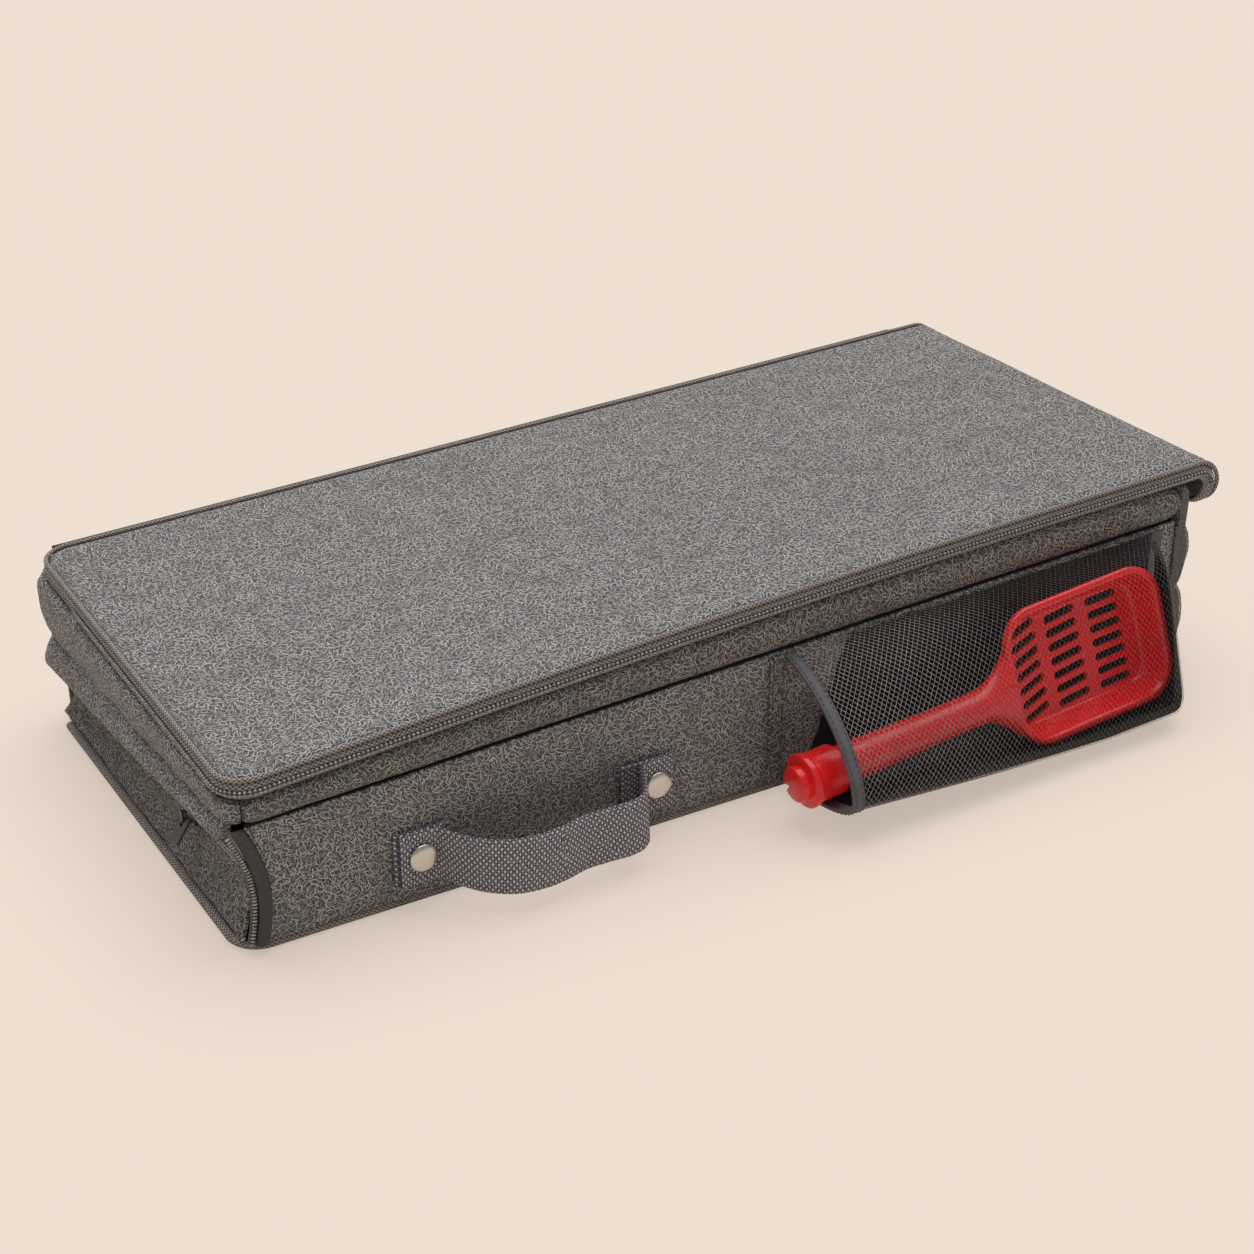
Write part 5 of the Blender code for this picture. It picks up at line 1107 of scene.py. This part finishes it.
def strap_faces(share, up):
    x, y, z = strap_line(share)
    run = Vector(strap_line(min(1.0, share + 0.01))) - Vector(strap_line(max(0.0, share - 0.01)))
    away = Vector((run.y, -run.x, 0.0)).normalized()
    bow = (STRAP_FACE + STRAP_THICKNESS - y) / STRAP_BOW
    point = Vector((x, y + 0.12 * STRAP_WIDTH * bow * up, z + STRAP_WIDTH * up))
    edge = 0.5 * STRAP_THICKNESS * faded((0.5 - abs(up)) * STRAP_WIDTH, STRAP_EDGE)
    return point + away * (STRAP_THICKNESS - edge), point + away * edge


for side_name, end, near, far in (
    ("left", 0.0, RIVET_LEFT + 0.006, RIVET_LEFT + 0.030),
    ("right", 1.0, RIVET_RIGHT - 0.004, RIVET_RIGHT - 0.014),
):
    half_shape = layered(steps(end, 0.5, 80), steps(-0.5, 0.5, 16), strap_faces)
    half = piece("handle_webbing_" + side_name, half_shape, WEBBING, node="handle_strap")
    at(near, -0.01, 0.02)
    at(far, -0.01, 0.02)
    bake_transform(half)


def patch(left):
    """A piece of webbing sewn to the wall, from its left side on."""
    right = left + PATCH_WIDTH
    low, high = STRAP_HEIGHT - PATCH_HALF_HEIGHT, STRAP_HEIGHT + PATCH_HALF_HEIGHT

    def faces_at(z, x):
        roll = 0.0007 * faded(min(x - left, right - x, z - low, high - z), 0.0012)
        return (x, PATCH_FACE + roll, z), (x, PATCH_FACE + STRAP_THICKNESS - roll, z)

    return layered(steps(low, high, 24), steps(left, right, 24), faces_at)


def spun(place, axis, profile, sides):
    """Turns a profile of (radius, distance along) about an axis."""
    axis = Vector(axis).normalized()
    across = axis.orthogonal().normalized()
    other = axis.cross(across)
    return sleeve([circle(place + axis * along, across, other, radius, sides) for radius, along in profile])


NICKEL = cast("brushed_nickel", (0.760, 0.700, 0.640), 0.30, 1.0, 900.0)
STITCH_INSET, SHANK_RADIUS, PATCH_LEFTS = 0.0014, 0.0016, (0.0644, 0.1655)
RIVET_RIM, RIVET_DOME = 0.0006, 0.0016
shank_end, rivet_seat = WALL_LINER_FACE + FABRIC + 0.0016, STRAP_FACE - GAP
rivet_profile = [(SHANK_RADIUS, shank_end), (SHANK_RADIUS, rivet_seat), (RIVET_RADIUS - 0.0002, rivet_seat)]
rivet_profile.append((RIVET_RADIUS, rivet_seat - 0.0002))
for turn in steps(0.0, 0.5 * math.pi, 10)[:-1]:
    rise = RIVET_RIM + RIVET_DOME * math.sin(turn)
    rivet_profile.append((RIVET_RADIUS * math.cos(turn), rivet_seat - rise))
for side_name, left, rivet_x in zip(("left", "right"), PATCH_LEFTS, (RIVET_LEFT, RIVET_RIGHT)):
    node = "handle_patch_" + side_name
    piece("handle_patch_cloth_" + side_name, patch(left), WEBBING, "base", node)
    near, far, rise = left + STITCH_INSET, left + PATCH_WIDTH - STITCH_INSET, PATCH_HALF_HEIGHT - STITCH_INSET
    low, high = STRAP_HEIGHT - rise, STRAP_HEIGHT + rise
    box = [(near, low), (far, low), (far, high), (near, high), (near, low)]
    stitches = [[((x, PATCH_FACE - 0.0001, z), (0, -1, 0)) for x, z in line] for line in zip(box, box[1:])]
    seam("handle_patch_stitches_" + side_name, stitches, "base", "webbing", 0.0030)
    rivet_shape = spun(Vector((rivet_x, 0.0, RIVET_HEIGHT)), (0, 1, 0), rivet_profile, 48)
    piece("handle_rivet_" + side_name, rivet_shape, NICKEL, "base", "rivet_" + side_name)
    paint("rivet_washer_" + side_name, NICKEL)

# The mesh pocket. Elastic net on the front wall, gathered at its right end, its mouth bound in
# folded slate tape. Cloth tape covers the seam beside the mouth, and slate tape the far end.
POCKET_LEFT, POCKET_RIGHT, POCKET_DEPTH = 0.2505, 0.4390, 0.0495
POCKET_BACK, POCKET_FOOT, POCKET_END_FOOT = WALL_FACE - GAP, 0.0055, 0.0120
POCKET_TAPER, POCKET_TIGHT_SHARE, POCKET_SEAM_DROP = 0.016, 0.71, 0.0018
UPPER_ROUND, LOWER_ROUND, WAIST_SHARE, TOP_LEAN = (1.25, 0.28), (1.0, 0.42), (0.24, 0.14), 0.42
POCKET_ARCS, ARC_CROWDING = 30, (1.0, 2.4)
NET_THICKNESS, NET_THREAD_RADIUS = 0.0008, 0.00017
NET_SLACK_X, NET_TAUT_X, NET_TAUT_SHARE = 0.300, 0.348, 0.32
HALF_CELLS_LONG, HALF_CELLS_ROUND = 146, 82


def pocket_section(x, grow):
    """Places on the pocket's outer face, from its top seam out, down and back to its bottom seam.

    It is loose at the mouth, tight over the scoop's dish, and tapers at its right end.
    """
    end = min(1.0, max(0.0, (POCKET_RIGHT - x) / POCKET_TAPER))
    share = (x - POCKET_LEFT) / (POCKET_RIGHT - POCKET_LEFT)
    fullness = math.sin(0.5 * math.pi * end) ** 0.6 * between(1.0, 0.88, share)
    depth = (POCKET_DEPTH - NET_THICKNESS) * fullness + NET_THICKNESS * 5 + grow
    top = far_wall_underside(x) - POCKET_SEAM_DROP
    foot = POCKET_FOOT - 0.35 * POCKET_FOOT * math.sin(math.pi * share)
    foot = between(POCKET_END_FOOT, foot, end ** 0.5)
    tight = min(1.0, share / POCKET_TIGHT_SHARE)
    upper = between(*UPPER_ROUND, tight)
    lower = between(*LOWER_ROUND, tight)
    waist = foot + between(*WAIST_SHARE, tight) * (top - foot)
    points = []
    for part in steps(0.0, 1.0, POCKET_ARCS):
        turn = 0.5 * math.pi * part ** between(*ARC_CROWDING, tight)
        rise = max(0.0, math.cos(turn)) ** upper
        lean = 1.0 - TOP_LEAN * tight * rise
        points.append((x, POCKET_BACK - depth * lean * math.sin(turn) ** upper, between(waist, top, rise)))
    for turn in steps(0.0, 0.5 * math.pi, POCKET_ARCS // 2)[1:]:
        y = POCKET_BACK - depth * max(0.0, math.cos(turn)) ** lower
        points.append((x, y, between(waist, foot, math.sin(turn) ** lower)))
    return points


def along_section(section, share):
    """The place at a share of a section's length, and the way out there."""
    lengths = [(Vector(b) - Vector(a)).length for a, b in zip(section, section[1:])]
    left = share * sum(lengths)
    for (a, b), length in zip(zip(section, section[1:]), lengths):
        if left <= length or length is lengths[-1]:
            run = (Vector(b) - Vector(a)).normalized()
            return Vector(a).lerp(Vector(b), min(1.0, left / length)), Vector((0.0, run.z, -run.y))
        left -= length


def net_tree():
    """Makes each strand of the net a thin thread, finer where the net is taut over the dish."""
    tree, given, curve = grower("net_strands", ("Thread Radius",))
    place = add(tree, "GeometryNodeInputPosition", {}).outputs[0]
    x = add(tree, "ShaderNodeSeparateXYZ", {0: place}).outputs[0]
    share = ranged(x, at(NET_SLACK_X, 0, 0).x, at(NET_TAUT_X, 0, 0).x, 1.0, NET_TAUT_SHARE)
    ring = add(tree, "GeometryNodeCurvePrimitiveCircle", {"Resolution": 3, "Radius": 1.0}).outputs[0]
    radius = times(share, given["Thread Radius"])
    feeds = {"Curve": curve, "Profile Curve": ring, "Scale": radius, "Fill Caps": True}
    return finished(tree, add(tree, "GeometryNodeCurveToMesh", feeds).outputs[0], given["Finish"])


def net_strands():
    """The net's strands: slanted lines of knots, both ways, from one edge of the pocket to another."""
    knots = []
    for x in steps(POCKET_LEFT, POCKET_RIGHT, HALF_CELLS_LONG):
        section = pocket_section(x, -0.5 * NET_THICKNESS)
        knots.append([along_section(section, share) for share in steps(0.004, 0.996, HALF_CELLS_ROUND)])
    strands = []
    for lean, edge in ((1, 0), (-1, HALF_CELLS_ROUND)):
        starts = [(0, j) for j in range(HALF_CELLS_ROUND + 1)]
        starts += [(i, edge) for i in range(1, HALF_CELLS_LONG)]
        for i, j in starts:
            if (i + j) % 2:
                continue
            strand = []
            while 0 <= i <= HALF_CELLS_LONG and 0 <= j <= HALF_CELLS_ROUND:
                strand.append(knots[i][j])
                i, j = i + 1, j + lean
            if len(strand) > 1:
                strands.append(strand)
    return strands


NET_THREAD = thread("net_thread", (0.115, 0.105, 0.104), (0.400, 0.376, 0.370), 0.6)
net_values = {"Thread Radius": NET_THREAD_RADIUS, "Finish": NET_THREAD}
net = grown("pocket_net", net_tree(), net_strands(), net_values)
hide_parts("mesh_pocket")
SLATE = smooth_tape("slate_tape", (0.060, 0.056, 0.062), (0.175, 0.165, 0.178), 0.75)
MOUTH_HALF_WIDTH, MOUTH_HALF_DEPTH, MOUTH_RISE = 0.0030, 0.0012, 0.0004


def rounded_square(turn):
    """Cosine and sine of a turn, drawn out towards the corners of a square."""
    return [math.copysign(abs(part) ** 0.6, part) for part in (math.cos(turn), math.sin(turn))]


def mouth_tape(section):
    """The folded tape round the mouth's edge, fuller in its middle than at its two sides."""
    rings = []
    for place, out in [along_section(section, share) for share in steps(0.0, 1.0, 60)]:
        ring = []
        for wide, deep in map(rounded_square, turned(14)):
            spot = place + out * (MOUTH_HALF_DEPTH * deep - MOUTH_HALF_DEPTH)
            x = POCKET_LEFT - GAP - MOUTH_HALF_WIDTH + MOUTH_HALF_WIDTH * wide
            ring.append((x, min(spot.y, POCKET_BACK), spot.z))
        rings.append(ring)
    return sleeve(rings)


mouth_section = pocket_section(POCKET_LEFT, MOUTH_RISE)
mouth_shape = mouth_tape(mouth_section)
mouth = piece("pocket_mouth_tape", mouth_shape, SLATE, "base", "pocket_mouth_binding")
mouth_line = [along_section(mouth_section, share) for share in steps(0.03, 0.97, 60)]
mouth_rows = []
for inset in (0.0012, 0.0049):
    x = POCKET_LEFT - GAP - inset
    mouth_rows.append([((x, *(place + 0.0001 * out)[1:]), out) for place, out in mouth_line])
seam("pocket_mouth_stitches", mouth_rows, "base", "slate_binding", 0.0028)
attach(net, "base")

# A dark lining hangs down the wall behind the scoop and runs out under it, just inside the net.
# Its near-black colour is painted shade for the inside of the pocket.
# Its top edge slants at the mouth, and it stops short at the pocket's far end.
LINING_WITH_PAINTED_SHADE = smooth_tape("dark_lining_painted_shade", (0.009, 0.006, 0.007), (0.026, 0.021, 0.023), 0.9)
LINING_THICKNESS, LINING_INSET = 0.00015, 0.0005


def lining_row(x):
    """Pairs of places on the lining's two faces, down the wall and up inside the net."""
    section = pocket_section(x, -NET_THICKNESS)
    foot = section[-1][2] + 0.0008
    top = between(foot + 0.004, far_wall_underside(x) - 0.0022, smooth((x - POCKET_LEFT - 0.004) / 0.024))
    line = [(Vector((x, POCKET_BACK + 0.0001, z)), Vector((0, -1, 0)), 0.0) for z in steps(top, foot, 20)]
    stop = between(0.62, 0.06, smooth((x - POCKET_RIGHT + 0.020) / 0.014))
    line += [(*along_section(section, share), LINING_INSET) for share in steps(0.99, stop, 30)]
    return [(place - out * inset, place - out * (inset + LINING_THICKNESS)) for place, out, inset in line]


lining_xs = steps(POCKET_LEFT + 0.0004, POCKET_RIGHT - 0.0004, 130)
lining_shape = paired([lining_row(x) for x in lining_xs])
lining = piece("pocket_lining", lining_shape, LINING_WITH_PAINTED_SHADE, "base")


def wall_tape(name, node, left, width, high, finish):
    """An upright tape on the wall's face, from the wall's foot to a height."""

    def faces_at(z, across):
        x, roll = left + width * across, 0.0003 * (1.0 - math.sin(math.pi * across)) ** 3
        return (x, POCKET_BACK - FABRIC + roll, z), (x, POCKET_BACK, z)

    shape = layered(steps(WALL_FOOT, high, 30), steps(0.0, 1.0, 8), faces_at)
    piece(name, shape, finish, "base", node)


SEAM_TAPE_WIDTH, END_STRIP_WIDTH = 0.0070, 0.0065
tape_left = POCKET_LEFT - 2 * GAP - 2 * MOUTH_HALF_WIDTH - SEAM_TAPE_WIDTH
tape_high, end_high = wall_top(tape_left) - GAP, wall_top(POCKET_RIGHT) - GAP
seam_node = "pocket_seam_tape"
# The seam strip takes the darker copy of the cloth, with its painted shade.
wall_tape("pocket_seam_strip", seam_node, tape_left, SEAM_TAPE_WIDTH, tape_high, PAINTED_SHADE_CLOTH)
end_left = POCKET_RIGHT + GAP
wall_tape("pocket_end_strip", "pocket_end_tape", end_left, END_STRIP_WIDTH, end_high, SLATE)
seam_rows = []
for x in (tape_left + 0.0012, tape_left + 0.0058):
    heights = steps(WALL_FOOT + 0.002, tape_high - 0.002, 20)
    seam_rows.append([((x, POCKET_BACK - FABRIC, z), (0, -1, 0)) for z in heights])
seam("pocket_seam_stitches", seam_rows, "base", "smooth_binding")

# The litter scoop. Moulded in glossy red plastic: a slotted dish with a flat rim, a round handle
# that ends in a collar, and a cap with a notched knob in the handle's end.
SCOOP_LENGTH, SCOOP_WIDTH, SCOOP_DEPTH, SCOOP_CORNER = 0.088, 0.062, 0.0120, 0.017
SCOOP_RIM, SCOOP_SLOPE, SCOOP_WALL = 0.0024, 0.0062, 0.0020
SCOOP_PLACE = Vector((0.3430, -0.0300, 0.0352))
ALONG = Vector((0.9965, 0.0290, 0.0760)).normalized()
OUT = ALONG.cross(Vector((-0.085, 0.320, 0.9440))).normalized()
ACROSS = OUT.cross(ALONG)
HANDLE_LENGTH, HANDLE_ACROSS, HANDLE_OUT, HANDLE_RADIUS = 0.1060, -0.0032, -0.0011 - SCOOP_WALL, 0.0075
COLLAR_END, NECK_START = -0.0930, -0.020
SLOT_HALF_WIDTH, SLOT_PITCH = 0.0019, 0.0064
SPIGOT_RADIUS, BORE_RADIUS, BORE_DEPTH = 0.0055, 0.0059, 0.0086
CAP_RADIUS, KNOB_RADIUS = 0.0118, 0.0078
SHARP_ANGLE = 32


def moulded(name, deep, bright):
    """Glossy moulded plastic: an even colour, a faint orange-peel skin and fine rub marks."""
    finish, shader = shader_of(name, 0.26, specular=0.35)
    shader.inputs["Coat Weight"].default_value = 0.15
    shader.inputs["Coat Roughness"].default_value = 0.12
    place = places(shader)
    peel = clouds(place, 620.0, 2.0)
    shader.id_data.links.new(ranged(peel, 0.0, 1.0, 0.20, 0.36), shader.inputs["Roughness"])
    dress(shader, mixed(clouds(place, 55.0, 3.0), deep, bright), peel, 0.06, 0.0002)
    return finish


RED = moulded("red_moulding", (0.800, 0.010, 0.012), (0.890, 0.015, 0.017))


def scoop_spot(along, across, out):
    return SCOOP_PLACE + ALONG * along + ACROSS * across + OUT * out


def dish_height(along, across):
    """How far the dish's inner face lies from the rim's plane, at a place on it."""
    half_length, half_width = 0.5 * SCOOP_LENGTH, 0.5 * SCOOP_WIDTH
    side = abs(along - half_length) - (half_length - SCOOP_CORNER)
    end = abs(across) - (half_width - SCOOP_CORNER)
    outside = math.hypot(max(side, 0.0), max(end, 0.0)) + min(max(side, end), 0.0)
    inside = SCOOP_CORNER - outside
    rim = 0.0008 * faded(max(0.0, inside), 0.0009)
    return -rim - SCOOP_DEPTH * smooth((inside - SCOOP_RIM) / SCOOP_SLOPE)


def dish():
    """The dish's shell, with close rows of places along its rim and its slope."""
    rim = [0.0, 0.0003, 0.0006, 0.0010, 0.0017, *steps(SCOOP_RIM, SCOOP_RIM + SCOOP_SLOPE, 10)]
    rim += [0.0105, 0.0125, 0.0147]
    columns = rim + steps(SCOOP_CORNER, SCOOP_LENGTH - SCOOP_CORNER, 24)
    lines = []
    for u in columns + [SCOOP_LENGTH - s for s in reversed(rim)]:
        half = 0.5 * SCOOP_WIDTH - rounding(min(u, SCOOP_LENGTH - u), SCOOP_CORNER)
        sides = [half - s * min(1.0, half / 0.020) for s in rim]
        middle = half - 1.08 * (half - sides[-1])
        line = []
        for v in [-side for side in sides] + [middle * i / 4 for i in range(-4, 5)] + sides[::-1]:
            height = dish_height(u, v)
            line.append((scoop_spot(u, v, height), scoop_spot(u, v, height - SCOOP_WALL)))
        lines.append(line)
    return paired(lines)


def scoop_handle():
    """The handle, from its collar to the flat neck under the dish's rim."""
    collar = [(-HANDLE_LENGTH, 0.0104), (-HANDLE_LENGTH + 0.0004, 0.0108), (COLLAR_END - 0.0004, 0.0108)]
    collar.append((COLLAR_END, 0.0104))
    grip = [(COLLAR_END + 0.0001, 0.0088), (-0.0700, 0.0082), (-0.0465, HANDLE_RADIUS)]
    grip.append((NECK_START, HANDLE_RADIUS))
    profile = [(along, radius, radius) for along, radius in collar + grip]
    for share in steps(0.0, 1.0, 12)[1:]:
        wide = between(HANDLE_RADIUS, 0.0210, share ** 2.2)
        thick = between(HANDLE_RADIUS, 0.62 * HANDLE_RADIUS, share)
        profile.append((between(NECK_START, 0.8 * SCOOP_RIM, share), wide, thick))
    rings = []
    for along, wide, thick in profile:
        ring = [(HANDLE_ACROSS + wide * math.cos(t), HANDLE_OUT + thick * math.sin(t)) for t in turned(40)]
        rings.append([scoop_spot(along, across, out) for across, out in ring])
    return sleeve(rings)


def slot_cutters():
    """Bars with round ends, in three columns, that cut the dish's slots."""
    shape = bmesh.new()
    for column, length, slant in ((0.215, 0.0140, 0.30), (0.455, 0.0175, 0.08), (0.725, 0.0175, 0.0)):
        for i in range(7):
            ring = []
            for k in range(16):
                turn = 2 * math.pi * (k + 0.5) / 16
                straight = math.copysign(0.5 * length - SLOT_HALF_WIDTH, math.cos(turn))
                u = straight + SLOT_HALF_WIDTH * math.cos(turn)
                v = (i - 3) * SLOT_PITCH + SLOT_HALF_WIDTH * math.sin(turn) + slant * u
                ring.append((column * SCOOP_LENGTH + u, v))
            sleeve([[scoop_spot(u, v, out) for u, v in ring] for out in (-0.022, -0.007)], shape=shape)
    return shape


def carved(body, name, shape, operation):
    """Cuts a shape from a piece, or joins it on."""
    tool = piece(name, shape, RED)
    modifier = body.modifiers.new("carve", "BOOLEAN")
    modifier.object, modifier.operation, modifier.solver = tool, operation, "EXACT"
    keep_result(body)
    bpy.data.objects.remove(tool, do_unlink=True)


def scoop_part(made, node):
    """Ends a part of the scoop: its curves are smooth and its edges sharp."""
    made.data.shade_smooth()
    made.data.set_sharp_from_angle(angle=math.radians(SHARP_ANGLE))
    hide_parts(node)
    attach(made, node)


scoop = piece("litter_scoop", dish(), RED)
carved(scoop, "scoop_handle_tool", scoop_handle(), "UNION")
carved(scoop, "scoop_slot_tool", slot_cutters(), "DIFFERENCE")
handle_end = scoop_spot(-HANDLE_LENGTH, HANDLE_ACROSS, HANDLE_OUT)
bore_shape = spun(handle_end, ALONG, [(BORE_RADIUS, -0.010), (BORE_RADIUS, BORE_DEPTH)], 32)
carved(scoop, "scoop_bore_tool", bore_shape, "DIFFERENCE")
scoop_part(scoop, "scoop")

cap_seat = -GAP
flange, knob = cap_seat - 0.0030, cap_seat - 0.0072
wide, slim = CAP_RADIUS, KNOB_RADIUS
cap_profile = [(SPIGOT_RADIUS, 0.0080), (SPIGOT_RADIUS, cap_seat), (wide - 0.0005, cap_seat)]
cap_profile += [(wide, cap_seat - 0.0005), (wide, flange + 0.0008), (wide - 0.0002, flange + 0.0003)]
cap_profile += [(wide - 0.0007, flange), (slim + 0.0002, flange), (slim, flange - 0.0002)]
cap_profile += [(slim, knob + 0.0008), (slim - 0.0002, knob + 0.0003), (slim - 0.0007, knob)]
cap = piece("scoop_end_cap", spun(handle_end, ALONG, cap_profile, 56), RED)
notch_side = (-OUT * 0.9 - ACROSS * 0.2).normalized()
notch_other = ALONG.cross(notch_side)
notch_rings = []
for along in (knob - 0.010, flange):
    middle = handle_end + ALONG * along
    notch_mouth = middle + notch_side * 0.0086
    corners = [notch_mouth + notch_other * 0.0025, notch_mouth - notch_other * 0.0025]
    notch_rings.append([middle + notch_side * 0.0036, *corners])
carved(cap, "cap_notch_tool", sleeve(notch_rings), "DIFFERENCE")
scoop_part(cap, "scoop_cap")
